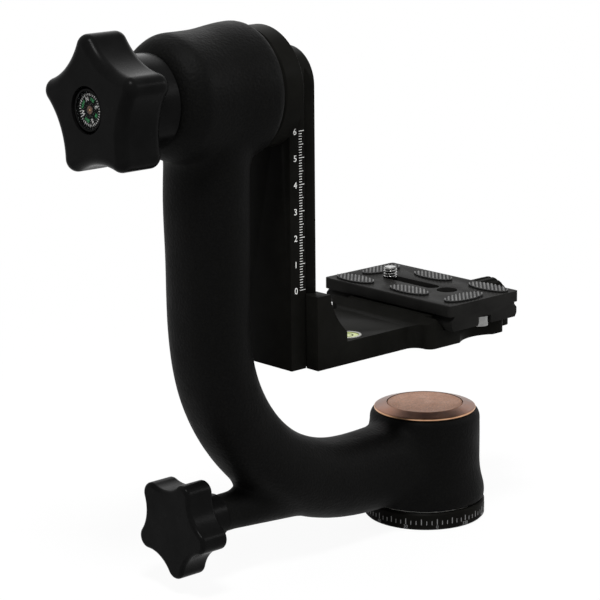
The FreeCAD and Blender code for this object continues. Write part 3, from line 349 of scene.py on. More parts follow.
def ring_finish():
    """Turned bronze ring: a dark bevel above a rim painted paler as a highlight."""
    base = tuple(colours().bronze)
    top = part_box("cap_ring")[1].z
    rim_top, bevel_foot = top - 1.85 * MM, top - 1.65 * MM
    made = Finish("bronze_ring_turned", base, 0.3, 1.0)
    where = made.place((0, 0, top))
    cloud = made.noise(where, 220.0, 4.0)
    bevel = made.shade(cloud, tint(base, 0.75), tint(base, 1.1))
    # Painted highlight: the rim below the bevel gets a pale copper colour.
    rim = made.shade(cloud, (0.50, 0.27, 0.15), (0.64, 0.38, 0.23))
    made.colour_by(made.mix(made.height(rim_top, bevel_foot), rim, bevel))
    made.rough(cloud, 0.28, 0.38)
    turned_relief(made, where, 1500.0)
    return made.material


def thread_finish():
    """Bright screw steel with painted shade in the roots of its thread."""
    low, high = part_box("camera_screw")
    root_radius, crest_radius = (sizes().thread_core + rise * MM for rise in (0.15, 0.6))
    tip_foot, tip_top = high.z - 0.2 * MM, high.z - 0.1 * MM
    made = Finish("screw_steel", (0.3, 0.3, 0.295), 0.2, 1.0)
    where = made.place()
    cloud = made.noise(where, 500.0, 4.0)
    across = made.node("ShaderNodeVectorMath", operation="LENGTH")
    made.link(made.place((0, (low.y + high.y) / 2, 0), (1, 1, 0)), across.inputs[0])
    share = made.node("ShaderNodeMath", operation="MAXIMUM", use_clamp=True)
    made.link(made.level(across.outputs["Value"], 0.0, 1.0, root_radius, crest_radius), share.inputs[0])
    made.link(made.height(tip_foot, tip_top), share.inputs[1])
    # Painted shade: the thread's roots get a near-black colour, which turns to the steel's own colour
    # towards the crests and at the top of the tip.
    root = made.shade(cloud, (0.012, 0.012, 0.011), (0.03, 0.03, 0.028))
    face = made.shade(cloud, (0.26, 0.26, 0.255), (0.42, 0.42, 0.41))
    made.colour_by(made.mix(share.outputs[0], root, face))
    made.rough(cloud, 0.16, 0.28)
    made.bump(cloud, 0.02 * MM, 0.5)
    return made.material


def disc_finish():
    """Bronze disc with an even fine grain."""
    made = Finish("bronze_disc_grain", tuple(colours().disc), 0.5, 0.75)
    where = made.place()
    grain = made.noise(where, 1400.0, 3.0, 0.7)
    cloud = made.noise(where, 120.0, 4.0)
    made.vary(grain, 0.62, 1.35, end=0.68)
    made.rough(cloud, 0.42, 0.58)
    made.bump(grain, 0.06 * MM, 0.8)
    return made.material


def rubber_finish():
    """Black rubber with a painted highlight along the crests of its ribs and painted shade in the grooves.
    """
    made = Finish("pad_rubber", (0.045, 0.045, 0.045), 0.75, specular=0.1)
    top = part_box("plate_pads")[1].z
    where = made.place()
    grain = made.noise(where, 2200.0, 4.0, 0.7)
    dust = made.noise(where, 300.0, 4.0)
    # Painted light: by height over the rib, the crests get a pale colour as a painted highlight and the
    # grooves a near-black one as painted shade.
    crest = made.shade(dust, (0.10, 0.10, 0.10), (0.19, 0.19, 0.187))
    groove = made.shade(dust, (0.002, 0.002, 0.002), (0.005, 0.005, 0.005))
    made.colour_by(made.mix(made.height(top - sizes().rib_depth, top), groove, crest))
    made.rough(dust, 0.68, 0.82)
    made.bump(grain, 0.05 * MM, 0.7)
    return made.material


def paint_finish(name, base):
    """Filled-in paint of the scales, a little thin in places."""
    made = Finish(name, base, 0.55, specular=0.3)
    where = made.place()
    thin = made.noise(where, 1800.0, 3.0)
    made.vary(thin, 0.82, 1.0, 0.3, 0.55)
    made.bump(thin, 0.02 * MM, 0.5)
    return made.material


def window_finish():
    """Clear moulded window of the compass, faintly cloudy."""
    made = Finish("dial_window", (0.1, 0.11, 0.11), 0.04, specular=0.1)
    made.set("Alpha", 0.03)
    made.rough(made.noise(made.place(), 90.0), 0.04, 0.08)
    return made.material


def fluid_finish():
    """Yellow-green fluid under the level's glass."""
    made = Finish("level_fluid", (0.30, 0.36, 0.07), 0.2, specular=0.3)
    cloud = made.noise(made.place(), 160.0, 2.0)
    made.colour_by(made.shade(cloud, (0.26, 0.33, 0.05), (0.40, 0.46, 0.13)))
    made.set("Coat Weight", 0.25)
    made.set("Coat Roughness", 0.05)
    return made.material


FINISHES = {}


def finish_for(slot):
    """Material of a slot of the record, made once."""
    if not FINISHES:
        c = colours()
        FINISHES.update({
            "cast_black": cast_finish(),
            "knob": plastic_finish(),
            "anodised": anodised_finish("anodised_black", tuple(c.anodised)),
            "plate_grey": anodised_finish(
                "anodised_blasted", tuple(c.plate), 0.36, 0.46, 2600.0, 0.03 * MM, specular=0.01),
            "steel": turned_finish(
                "machined_steel", (0.27, 0.27, 0.265), 0.24, (0, 23 * MM, 112 * MM), 0.12 * MM),
            "brass": turned_finish("machined_brass", (0.42, 0.28, 0.12), 0.34, (0, 0, 0), 0.15 * MM),
            "bush": turned_finish("sintered_bronze", (0.50, 0.34, 0.18), 0.45, (0, 0, 0), 0.2 * MM),
            "thread": thread_finish(),
            "bronze_ring": ring_finish(),
            "bronze_disc": disc_finish(),
            "ptfe": paint_finish("white_slip_plastic", (0.8, 0.8, 0.76)),
            "dial": anodised_finish("dial_black", (0.002, 0.002, 0.002), 0.35, 0.45, specular=0.02),
            "dial_hub": paint_finish("dial_hub_brown", (0.085, 0.042, 0.027)),
            "lens": window_finish(),
            "level_white": paint_finish("level_white_shell", (0.27, 0.27, 0.25)),
            "level_fluid": fluid_finish(),
            "rubber": rubber_finish(),
            "paint": paint_finish("scale_white", tuple(c.paint)),
            "dim_paint": paint_finish("degree_grey", tuple(c.dim_paint)),
            "green": paint_finish("dial_green", tuple(c.green)),
        })
    return FINISHES[slot]


def node_slots():
    """Material slot of each CAD node."""
    return {row["node"]: row["material_slot"] for row in frame["record"]["subparts"]}


def body_of_node(node):
    """Name of the body that carries a CAD node."""
    return frame["nodes"][node]["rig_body"]


# ---------------------------------------------------------------- mesh helpers
def link_object(name, mesh, material):
    """A new object in the scene with one material."""
    piece = bpy.data.objects.new(name, mesh)
    bpy.context.scene.collection.objects.link(piece)
    mesh.materials.clear()
    mesh.materials.append(material)
    return piece


def weld(mesh, distance):
    """Joins the points that lie within the distance of each other."""
    work = bmesh.new()
    work.from_mesh(mesh)
    bmesh.ops.remove_doubles(work, verts=work.verts, dist=distance)
    work.to_mesh(mesh)
    work.free()


def merged_copy(node):
    """A welded copy of a CAD node's mesh."""
    mesh = frame["nodes"][node].data.copy()
    weld(mesh, CAD_WELD)
    return mesh


def applied(piece):
    """Takes the piece's modifiers into its mesh."""
    deps = bpy.context.evaluated_depsgraph_get()
    result = bpy.data.meshes.new_from_object(piece.evaluated_get(deps))
    piece.modifiers.clear()
    old = piece.data
    piece.data = result
    result.name = piece.name
    bpy.data.meshes.remove(old)
    return piece


def join_meshes(name, parts, material):
    """One object from (points, faces) pairs."""
    points, faces, start = [], [], 0
    for part_points, part_faces in parts:
        points.extend(map(tuple, part_points))
        faces.extend([[i + start for i in face] for face in part_faces])
        start += len(part_points)
    mesh = bpy.data.meshes.new(name)
    mesh.from_pydata(points, [], faces)
    mesh.validate()
    return link_object(name, mesh, material)


def mesh_parts(mesh):
    """Points and faces of a mesh."""
    points = np.empty(len(mesh.vertices) * 3)
    mesh.vertices.foreach_get("co", points)
    return points.reshape(-1, 3), [list(p.vertices) for p in mesh.polygons]


def set_down(points, origin, right, up):
    """Points drawn in x right, y up, z out, put where they belong."""
    right, up = Vector(right), Vector(up)
    turn = np.array([right, up, right.cross(up)])
    return np.asarray(points) @ turn + np.array(origin)


def letters(text, size, weight, rise):
    """Points and faces of solid lettering, centred on its own middle."""
    curve = bpy.data.curves.new("lettering", "FONT")
    curve.body = text
    curve.size = size / CAP_HEIGHT
    curve.offset = weight
    curve.extrude = rise
    curve.align_x = "CENTER"
    holder = bpy.data.objects.new("lettering", curve)
    bpy.context.scene.collection.objects.link(holder)
    deps = bpy.context.evaluated_depsgraph_get()
    mesh = bpy.data.meshes.new_from_object(holder.evaluated_get(deps))
    weld(mesh, LETTER_WELD)
    points, faces = mesh_parts(mesh)
    bpy.data.objects.remove(holder)
    bpy.data.curves.remove(curve)
    bpy.data.meshes.remove(mesh)
    for k in range(2):
        points[:, k] -= (points[:, k].min() + points[:, k].max()) / 2
    return points, faces


def ring_band(inner, outer, rise, count=48):
    """Flat closed ring round z."""
    corners = ((inner, 0), (outer, 0), (outer, rise), (inner, rise))
    points = [
        (r * math.cos(math.tau * k / count), r * math.sin(math.tau * k / count), z)
        for k in range(count) for r, z in corners]
    faces = []
    for k in range(count):
        a, b = 4 * k, 4 * ((k + 1) % count)
        for i in range(4):
            j = (i + 1) % 4
            faces.append([a + i, b + i, b + j, a + j])
    return np.array(points), faces


def wrap_round(points, radius, angle, height):
    """Lettering laid round a vertical cylinder; the angle runs from -Y towards +X."""
    turn = angle + points[:, 0] / radius
    out = radius + points[:, 2]
    return np.stack([out * np.sin(turn), -out * np.cos(turn), height + points[:, 1]], 1)


# ---------------------------------------------------------------- geometry node helpers
TREES = {}


class Tree:
    """A geometry node tree; its inputs are named by kind, as Float=("Width", "Height")."""

    def __init__(self, name, **inputs):
        self.tree = bpy.data.node_groups.new(name, "GeometryNodeTree")
        face = self.tree.interface
        face.new_socket("Geometry", in_out="INPUT", socket_type="NodeSocketGeometry")
        for kind, labels in inputs.items():
            for label in labels:
                face.new_socket(label, in_out="INPUT", socket_type="NodeSocket" + kind)
        face.new_socket("Material", in_out="INPUT", socket_type="NodeSocketMaterial")
        face.new_socket("Geometry", in_out="OUTPUT", socket_type="NodeSocketGeometry")
        self.source = self.tree.nodes.new("NodeGroupInput")
        self.result = self.tree.nodes.new("NodeGroupOutput")

    def take(self, label):
        """Socket of a named input."""
        return self.source.outputs[label]

    def add(self, kind, links=None, **values):
        """A new node with its settings and what feeds its inputs, a socket or a value."""
        made = self.tree.nodes.new(kind)
        for key, value in values.items():
            setattr(made, key, value)
        for socket, value in (links or {}).items():
            target = made.inputs[socket]
            if isinstance(value, bpy.types.NodeSocket):
                self.tree.links.new(value, target)
            else:
                target.default_value = value
        return made

    def maths(self, operation, a, b=0.0):
        return self.add("ShaderNodeMath", {0: a, 1: b}, operation=operation).outputs[0]

    def plus(self, a, b):
        return self.maths("ADD", a, b)

    def minus(self, a, b):
        return self.maths("SUBTRACT", a, b)

    def over(self, a, b):
        return self.maths("DIVIDE", a, b)

    def product(self, first, *others):
        for other in others:
            first = self.maths("MULTIPLY", first, other)
        return first

    def vector(self, x=0.0, y=0.0, z=0.0):
        return self.add("ShaderNodeCombineXYZ", {0: x, 1: y, 2: z}).outputs[0]

    def end(self, geometry):
        """Realize Instances and Set Material close every tree."""
        real = self.add("GeometryNodeRealizeInstances", {"Geometry": geometry})
        painted = self.add("GeometryNodeSetMaterial", {
            "Geometry": real.outputs[0], "Material": self.take("Material")})
        self.tree.links.new(painted.outputs[0], self.result.inputs[0])
        return self.tree


def grown(maker, values, material):
    """Points and faces of a tree's result, for the values of its inputs."""
    if maker not in TREES:
        TREES[maker] = maker()
    tree = TREES[maker]
    piece = link_object(tree.name, bpy.data.meshes.new(tree.name), material)
    modifier = piece.modifiers.new("grown", "NODES")
    modifier.node_group = tree
    sockets = {i.name: i.identifier for i in tree.interface.items_tree if i.in_out == "INPUT"}
    for label, value in values.items():
        modifier[sockets[label]] = value
    modifier[sockets["Material"]] = material
    parts = mesh_parts(applied(piece).data)
    bpy.data.objects.remove(piece)
    return parts


def ring_tree():
    """Upright marks round a circle, leaving out every n-th; none are left out at 0."""
    t = Tree(
        "marks_round_a_circle", Int=("Count", "Leave Out"),
        Float=("Radius", "Thickness", "Width", "Height", "Middle", "Turn"))
    circle = t.add("GeometryNodeMeshCircle", {"Vertices": t.take("Count"), "Radius": t.take("Radius")})
    size = t.vector(t.take("Thickness"), t.take("Width"), t.take("Height"))
    mark = t.add("GeometryNodeMeshCube", {"Size": size})
    index = t.add("GeometryNodeInputIndex").outputs[0]
    at_step = t.maths("COMPARE", t.maths("MODULO", index, t.take("Leave Out")), 0.0)
    dropped = t.product(at_step, t.maths("GREATER_THAN", t.take("Leave Out"), 0.5))
    kept = t.minus(1.0, dropped)
    step = t.over(math.tau, t.take("Count"))
    angle = t.vector(0.0, 0.0, t.product(index, step))
    marks = t.add("GeometryNodeInstanceOnPoints", {
        "Points": circle.outputs[0], "Selection": kept, "Instance": mark.outputs[0], "Rotation": angle})
    moved = t.add("GeometryNodeTransform", {
        "Geometry": marks.outputs[0], "Translation": t.vector(0.0, 0.0, t.take("Middle")),
        "Rotation": t.vector(0.0, 0.0, t.take("Turn"))})
    return t.end(moved.outputs[0])


def ladder_tree():
    """Marks up a line: short ones, longer ones at each fifth and tenth."""
    t = Tree(
        "marks_up_a_line", Int=("Count",),
        Float=("Pitch", "Thickness", "Width", "Short", "Middle", "Long"), Vector=("Start",))
    line = t.add("GeometryNodeMeshLine", {
        "Count": t.take("Count"), "Start Location": t.take("Start"),
        "Offset": t.vector(0.0, 0.0, t.take("Pitch"))})
    unit = t.add("GeometryNodeMeshCube", {"Size": (1.0, 1.0, 1.0)})
    mark = t.add("GeometryNodeTransform", {"Geometry": unit.outputs[0], "Translation": (0.5, 0.0, 0.0)})
    index = t.add("GeometryNodeInputIndex").outputs[0]
    fifth = t.maths("COMPARE", t.maths("MODULO", index, 5.0), 0.0)
    tenth = t.maths("COMPARE", t.maths("MODULO", index, 10.0), 0.0)
    add_fifth = t.product(fifth, t.minus(t.take("Middle"), t.take("Short")))
    add_tenth = t.product(tenth, t.minus(t.take("Long"), t.take("Middle")))
    length = t.plus(t.take("Short"), t.plus(add_fifth, add_tenth))
    marks = t.add("GeometryNodeInstanceOnPoints", {
        "Points": line.outputs[0], "Instance": mark.outputs[0],
        "Scale": t.vector(length, t.take("Thickness"), t.take("Width"))})
    return t.end(marks.outputs[0])


def pad_tree():
    """Oval pad whose top rises and falls in ribs: a block laid out in the ribs' own directions.

    The oval (x / half_x)^2 + (y / half_y)^2 = 1, turned by the angle, is
    c p^2 + 2 b p q + a q^2 = 1 with p across the ribs and q along them.
    """
    t = Tree(
        "ribbed_oval_pad", Float=("Half X", "Half Y", "Base", "Rib", "Pitch", "Angle"), Vector=("Centre",))
    block = t.add("GeometryNodeMeshCube", {
        "Size": (2.0, 2.0, 1.0), "Vertices X": 125, "Vertices Y": 7, "Vertices Z": 2})
    spot = t.add("ShaderNodeSeparateXYZ", {0: t.add("GeometryNodeInputPosition").outputs[0]}).outputs
    cos, sin = t.maths("COSINE", t.take("Angle")), t.maths("SINE", t.take("Angle"))
    wide, deep = t.maths("POWER", t.take("Half X"), -2.0), t.maths("POWER", t.take("Half Y"), -2.0)
    a = t.plus(t.product(wide, sin, sin), t.product(deep, cos, cos))
    b = t.product(sin, cos, t.minus(deep, wide))
    reach = t.product(t.take("Half X"), t.take("Half Y"), t.maths("SQRT", a))
    p = t.product(spot[0], reach, 0.998)    # a little short of the oval's ends, where it has no width
    wave = t.maths("COSINE", t.product(math.tau, t.over(p, t.take("Pitch"))))
    share = t.plus(t.product(wave, 0.5), 0.5)
    chord = t.maths("SQRT", t.minus(a, t.product(wide, deep, p, p)))
    edge = t.plus(t.product(share, 0.05), 0.95)    # grooves end short of the rim
    q = t.over(t.minus(t.product(spot[1], chord, edge), t.product(b, p)), a)
    top = t.plus(t.take("Base"), t.product(t.take("Rib"), share))
    place = t.vector(
        t.minus(t.product(p, cos), t.product(q, sin)),
        t.plus(t.product(p, sin), t.product(q, cos)),
        t.product(t.maths("GREATER_THAN", spot[2], 0.0), top))
    shaped = t.add("GeometryNodeSetPosition", {"Geometry": block.outputs["Mesh"], "Position": place})
    moved = t.add("GeometryNodeTransform", {"Geometry": shaped.outputs[0], "Translation": t.take("Centre")})
    return t.end(moved.outputs[0])


def thread_tree():
    """Threaded stud: a closed cylinder whose wall winds in and out, with a bevelled tip."""
    t = Tree(
        "threaded_stud", Float=("Radius", "Length", "Pitch", "Groove", "Bevel"), Vector=("Centre",))
    stud = t.add("GeometryNodeMeshCylinder", {
        "Vertices": 48, "Side Segments": 52, "Radius": t.take("Radius"), "Depth": t.take("Length")})
    spot = t.add("ShaderNodeSeparateXYZ", {0: t.add("GeometryNodeInputPosition").outputs[0]}).outputs
    around = t.over(t.maths("ARCTAN2", spot[1], spot[0]), math.tau)
    wound = t.maths("FRACT", t.minus(t.over(spot[2], t.take("Pitch")), around))
    flank = t.maths("ABSOLUTE", t.minus(t.product(wound, 2.0), 1.0))
    # Flat over 15 % of the pitch at the crest and over 11 % at the root.
    crest = t.add("ShaderNodeClamp", {0: t.minus(t.product(flank, 1.35), 0.15)}).outputs[0]
    depth = t.product(t.take("Groove"), t.minus(1.0, crest))
    past = t.minus(t.plus(spot[2], t.take("Bevel")), t.product(t.take("Length"), 0.5))
    cut = t.maths("MAXIMUM", depth, past)
    share = t.minus(1.0, t.over(cut, t.take("Radius")))
    place = t.vector(t.product(spot[0], share), t.product(spot[1], share), spot[2])
    shaped = t.add("GeometryNodeSetPosition", {"Geometry": stud.outputs["Mesh"], "Position": place})
    moved = t.add("GeometryNodeTransform", {"Geometry": shaped.outputs[0], "Translation": t.take("Centre")})
    return t.end(moved.outputs[0])


def settle(piece, body, angle, nodes=()):
    """Last calls on a finished piece: hard edges above the angle, body, nodes it stands for."""
    piece.data.shade_smooth()
    piece.data.set_sharp_from_angle(angle=math.radians(angle))
    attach(piece, body)
    if nodes:
        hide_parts(*nodes)


# ---------------------------------------------------------------- pieces
def seen_share(tree):
    """1 for rays from the camera, off a mirror or through glass, and 0 for the rest."""
    path = tree.nodes.new("ShaderNodeLightPath")
    share = path.outputs["Is Camera Ray"]
    for ray in ("Is Glossy Ray", "Is Transmission Ray"):
        either = tree.nodes.new("ShaderNodeMath")
        either.operation = "MAXIMUM"
        tree.links.new(share, either.inputs[0])
        tree.links.new(path.outputs[ray], either.inputs[1])
        share = either.outputs[0]
    return share


class GIMBAL_OT_stage(bpy.types.Operator):
    """Floor, world, softboxes and camera"""
    bl_idname = "gimbal.stage"
    bl_label = "Studio"

    floor_radius, floor_z = 12.0, -0.2 * MM
    shadow_near, shadow_far = 0.2, 0.6    # between them the floor's own shade fades out
    shadow_glow = 0.93                    # light of the floor under the head
    softboxes = (                         # name, place and width
        ("key", (-0.45, -0.35, 1.2), 0.25),
        ("fill", (0.95, -0.85, 0.75), 0.4),
        ("back", (0.75, 0.75, 0.95), 1.0))
    lit_point = (-0.06, 0, 0.12)
    camera_place = (-0.75262, -0.73666, 0.36012)
    camera_angles = (-42.45, 13.71, -0.51)    # azimuth, elevation, roll
    sensor_width, focal_pixels, frame_pixels = 36.0, 2330.7, 600.0

    def execute(self, context):
        scene = context.scene
        scene.view_settings.view_transform = "Standard"
        self.floor()
        self.world(scene)
        for name, place, width in self.softboxes:
            self.softbox(name + "_softbox", place, width, getattr(scene.gimbal_stage, name))
        self.camera(scene)
        return {"FINISHED"}

    def floor(self):
        """White disc that keeps the head's shadow."""
        mesh = bpy.data.meshes.new("studio_floor")
        work = bmesh.new()
        bmesh.ops.create_circle(work, cap_ends=True, segments=96, radius=self.floor_radius)
        bmesh.ops.translate(work, verts=work.verts, vec=(0, 0, self.floor_z))
        work.to_mesh(mesh)
        work.free()
        made = Finish("floor_white", (0.92, 0.92, 0.92), 0.9, specular=0.0)
        glow = made.node("ShaderNodeEmission", {"Strength": 1.0})
        far = made.node("ShaderNodeVectorMath", operation="LENGTH")
        made.link(made.place(), far.inputs[0])
        spread = made.node("ShaderNodeMapRange", {
            "From Min": self.shadow_near, "From Max": self.shadow_far,
            "To Min": self.shadow_glow, "To Max": 1.0}, interpolation_type="SMOOTHSTEP")
        made.link(far.outputs["Value"], spread.inputs["Value"])
        share = made.node("ShaderNodeMath", operation="MULTIPLY")
        made.link(seen_share(made.tree), share.inputs[0])
        made.link(spread.outputs["Result"], share.inputs[1])
        mix = made.node("ShaderNodeMixShader")
        for k, socket in enumerate((share.outputs[0], made.shader.outputs[0], glow.outputs[0])):
            made.link(socket, mix.inputs[k])
        made.link(mix.outputs[0], made.tree.nodes["Material Output"].inputs["Surface"])
        link_object("studio_floor", mesh, made.material)

    def world(self, scene):
        """Even room light behind a white that only shows."""
        world = bpy.data.worlds.new("studio_world")
        world.use_nodes = True
        nodes, links = world.node_tree.nodes, world.node_tree.links
        nodes.clear()
        out = nodes.new("ShaderNodeOutputWorld")
        mix = nodes.new("ShaderNodeMixShader")
        links.new(seen_share(world.node_tree), mix.inputs[0])
        for k, strength in ((1, scene.gimbal_stage.sky), (2, 1.0)):
            light = nodes.new("ShaderNodeBackground")
            light.inputs["Color"].default_value = (1, 1, 1, 1)
            light.inputs["Strength"].default_value = strength
            links.new(light.outputs[0], mix.inputs[k])
        links.new(mix.outputs[0], out.inputs["Surface"])
        scene.world = world

    def softbox(self, name, place, width, power):
        """Square lamp turned to the head."""
        light = bpy.data.lights.new(name, "AREA")
        light.shape = "SQUARE"
        light.size = width
        light.energy = power
        holder = bpy.data.objects.new(name, light)
        holder.location = place
        aim = Vector(self.lit_point) - Vector(place)
        holder.rotation_euler = aim.to_track_quat("-Z", "Y").to_euler()
        bpy.context.scene.collection.objects.link(holder)

    def camera(self, scene):
        """Camera from its place, angles and focal length in pixels."""
        azimuth, elevation, roll = (math.radians(a) for a in self.camera_angles)
        back = Vector((
            math.sin(azimuth) * math.cos(elevation),
            -math.cos(azimuth) * math.cos(elevation),
            math.sin(elevation)))
        right = (-back).cross(Vector(UP)).normalized()
        up = right.cross(-back)
        level_right = right * math.cos(roll) + up * math.sin(roll)
        level_up = up * math.cos(roll) - right * math.sin(roll)
        lens = bpy.data.cameras.new("studio_camera")
        lens.sensor_width = self.sensor_width
        lens.lens = self.sensor_width * self.focal_pixels / self.frame_pixels
        lens.clip_start = 0.01
        lens.clip_end = 60.0
        holder = bpy.data.objects.new("studio_camera", lens)
        turn = Matrix((level_right, level_up, back)).transposed().to_4x4()
        holder.matrix_world = Matrix.Translation(self.camera_place) @ turn
        scene.collection.objects.link(holder)
        scene.camera = holder


class GIMBAL_OT_nodes(bpy.types.Operator):
    """Finishes of the carried-over parts"""
    bl_idname = "gimbal.nodes"
    bl_label = "Machined parts"

    def execute(self, context):
        for node, slot in node_slots().items():
            holder = frame["nodes"][node]
            if not holder.material_slots:
                holder.data.materials.append(finish_for(slot))
            for place in holder.material_slots:
                place.material = finish_for(slot)
        return {"FINISHED"}


class GIMBAL_OT_arm(bpy.types.Operator):
    """Cast arm with the limbs flowing into each other"""
    bl_idname = "gimbal.arm"
    bl_label = "Cast arm"

    even_passes, even_in, even_out = 12, 0.5, 0.53    # the step out undoes the shrinking of the one in

    def execute(self, context):
        piece = link_object("cast_arm", merged_copy("swing_arm"), finish_for("cast_black"))
        remesh = piece.modifiers.new("cast", "REMESH")
        remesh.mode = "VOXEL"
        remesh.voxel_size = sizes().skin_cell
        applied(piece)
        self.blend(piece.data, sizes().blend_passes)
        settle(piece, "arm", 60.0, ["swing_arm"])
        return {"FINISHED"}

    def blend(self, mesh, passes):
        """Raises hollow corners towards their neighbours, then evens out the whole skin."""
        count = len(mesh.vertices)
        points = np.empty(count * 3)
        mesh.vertices.foreach_get("co", points)
        points = points.reshape(-1, 3)
        pairs = np.empty(len(mesh.edges) * 2, dtype=np.int64)
        mesh.edges.foreach_get("vertices", pairs)
        first, second = pairs.reshape(-1, 2).T
        ends = np.concatenate([first, second])
        others = np.concatenate([second, first])
        degree = np.bincount(ends, minlength=count)[:, None]

        def around_mean(values):
            """Mean of each point's neighbours."""
            total = [np.bincount(ends, weights=values[others, k], minlength=count) for k in range(3)]
            return np.stack(total, 1) / degree

        normals = np.empty(count * 3)
        for _ in range(passes):
            mesh.vertices.foreach_set("co", points.ravel())
            mesh.update()
            mesh.vertex_normals.foreach_get("vector", normals)
            out = normals.reshape(-1, 3)
            rise = ((around_mean(points) - points) * out).sum(1)
            points = points + out * np.clip(rise, 0.0, None)[:, None]
        for _ in range(self.even_passes):
            points = points + (around_mean(points) - points) * self.even_in
            points = points - (around_mean(points) - points) * self.even_out
        mesh.vertices.foreach_set("co", points.ravel())
        mesh.update()


class GIMBAL_OT_machined(bpy.types.Operator):
    """Bracket, rail, plate and jaw with broken edges"""
    bl_idname = "gimbal.machined"
    bl_label = "Broken edges"

    edge_shares = {"platform_bracket": 1.0, "swing_rail": 0.4, "camera_plate": 0.8, "movable_jaw": 0.8}
    flat_angle, edge_angle = 0.5, 35.0    # faces below the one are joined, edges above the other bevelled

    def execute(self, context):
        for node, share in self.edge_shares.items():
            self.soften(node, share * sizes().edge_break)
        return {"FINISHED"}

    def soften(self, node, width):
        """A copy of the part with its flat faces joined and its edges bevelled."""
        slot = node_slots()[node]
        mesh = merged_copy(node)
        work = bmesh.new()
        work.from_mesh(mesh)
        bmesh.ops.dissolve_limit(
            work, angle_limit=math.radians(self.flat_angle), verts=work.verts, edges=work.edges)
        work.to_mesh(mesh)
        work.free()
        piece = link_object(node + "_finished", mesh, finish_for(slot))
        bevel = piece.modifiers.new("edge", "BEVEL")
        bevel.width = width
        bevel.segments = 2
        bevel.limit_method = "ANGLE"
        bevel.angle_limit = math.radians(self.edge_angle)
        bevel.use_clamp_overlap = True
        applied(piece)
        settle(piece, body_of_node(node), self.edge_angle, [node])


class GIMBAL_OT_pan_scale(bpy.types.Operator):
    """Degree marks and numbers round the base"""
    bl_idname = "gimbal.pan_scale"
    bl_label = "Pan scale"

    foot = 2.6 * MM    # lower end of the marks
    rows = ((72, 3, 1.9 * MM, 1.0), (24, 0, 2.8 * MM, 1.15))    # count, left out, height, width share
    numbers, step, number_z = 12, 30, 1.6 * MM
    number_size, number_weight = 1.5 * MM, 0.012 * MM

    def execute(self, context):
        s = sizes()
        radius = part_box("pan_base")[1].x
        paint = finish_for("dim_paint")
        parts = [
            grown(ring_tree, {
                "Count": count, "Leave Out": leave, "Radius": radius, "Thickness": 2 * s.mark_rise,
                "Width": s.degree_width * share, "Height": tall, "Middle": self.foot + tall / 2,
                "Turn": s.degree_offset - math.pi / 2}, paint)
            for count, leave, tall, share in self.rows]
        for k in range(self.numbers):
            points, faces = letters(
                str(self.step * k), self.number_size, self.number_weight, s.mark_rise)
            turn = s.degree_offset + math.radians(-self.step * k - self.step)
            parts.append((wrap_round(points, radius, turn, self.number_z), faces))
        settle(join_meshes("pan_scale_marks", parts, paint), "base", MARK_ANGLE)
        return {"FINISHED"}


class GIMBAL_OT_height_scale(bpy.types.Operator):
    """Height marks and numbers on the rail"""
    bl_idname = "gimbal.height_scale"
    bl_label = "Height scale"

    mark_x, number_x = -93.3 * MM, -95.55 * MM    # root of the marks, middle of the numbers
    mark_count, mark_width = 61, 0.28 * MM
    short, middle, long = 1.65 * MM, 2.35 * MM, 2.95 * MM
    number_size, number_weight = 2.75 * MM, 0.02 * MM

    def execute(self, context):
        s = sizes()
        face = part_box("swing_rail")[0].y
        paint = finish_for("paint")
        parts = [grown(ladder_tree, {
            "Count": self.mark_count, "Pitch": s.height_pitch / 10, "Thickness": 2 * s.mark_rise,
            "Width": self.mark_width, "Short": self.short, "Middle": self.middle, "Long": self.long,
            "Start": (self.mark_x, face, s.height_zero)}, paint)]
        for k in range(7):
            points, faces = letters(str(k), self.number_size, self.number_weight, s.mark_rise)
            spot = (self.number_x, face, s.height_zero + k * s.height_pitch)
            parts.append((set_down(points, spot, (1, 0, 0), UP), faces))
        piece = join_meshes("height_scale_marks", parts, paint)
        settle(piece, body_of_node("swing_rail"), MARK_ANGLE)
        return {"FINISHED"}


class GIMBAL_OT_compass(bpy.types.Operator):
    """Marks and letters of the compass card"""
    bl_idname = "gimbal.compass"
    bl_label = "Compass"

    rise = 0.06 * MM
    tick_radius = 6.25 * MM
    ticks = ((36, 3, 0.8 * MM, 0.24 * MM), (12, 0, 1.1 * MM, 0.3 * MM))    # count, left out, length, width
    north_turn, letter_radius, letter_weight = -20.0, 4.55 * MM, 0.015 * MM
    white_size, green_size = 1.75 * MM, 1.35 * MM
    hub_hole, hub_radius = 0.75 * MM, 1.7 * MM

    def execute(self, context):
        low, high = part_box("compass_card")
        centre = Vector((low.x, 0, (low.z + high.z) / 2))
        white, green = [], []
        for count, leave, length, width in self.ticks:
            points, faces = grown(ring_tree, {
                "Count": count, "Leave Out": leave, "Radius": self.tick_radius, "Thickness": length,
                "Width": width, "Height": self.rise, "Middle": 0.0, "Turn": 0.0}, finish_for("paint"))
            white.append((set_down(points, centre, DIAL_RIGHT, UP), faces))
        for k, text in enumerate(("N", "NE", "E", "SE", "S", "SW", "W", "NW")):
            angle = math.radians(self.north_turn + 45.0 * k)
            up = Vector((0, -math.sin(angle), math.cos(angle)))
            right = Vector((0, -math.cos(angle), -math.sin(angle)))
            group, size = (white, self.white_size) if len(text) == 1 else (green, self.green_size)
            points, faces = letters(text, size, self.letter_weight, self.rise)
            group.append((set_down(points, centre + up * self.letter_radius, right, up), faces))
        points, faces = ring_band(self.hub_hole, self.hub_radius, self.rise)
        hub = [(set_down(points, centre, DIAL_RIGHT, UP), faces)]
        for name, parts, finish in (
                ("compass_marks", white, "paint"), ("compass_green_letters", green, "green"),
                ("compass_hub", hub, "dial_hub")):
            settle(join_meshes(name, parts, finish_for(finish)), "card", MARK_ANGLE)
        return {"FINISHED"}


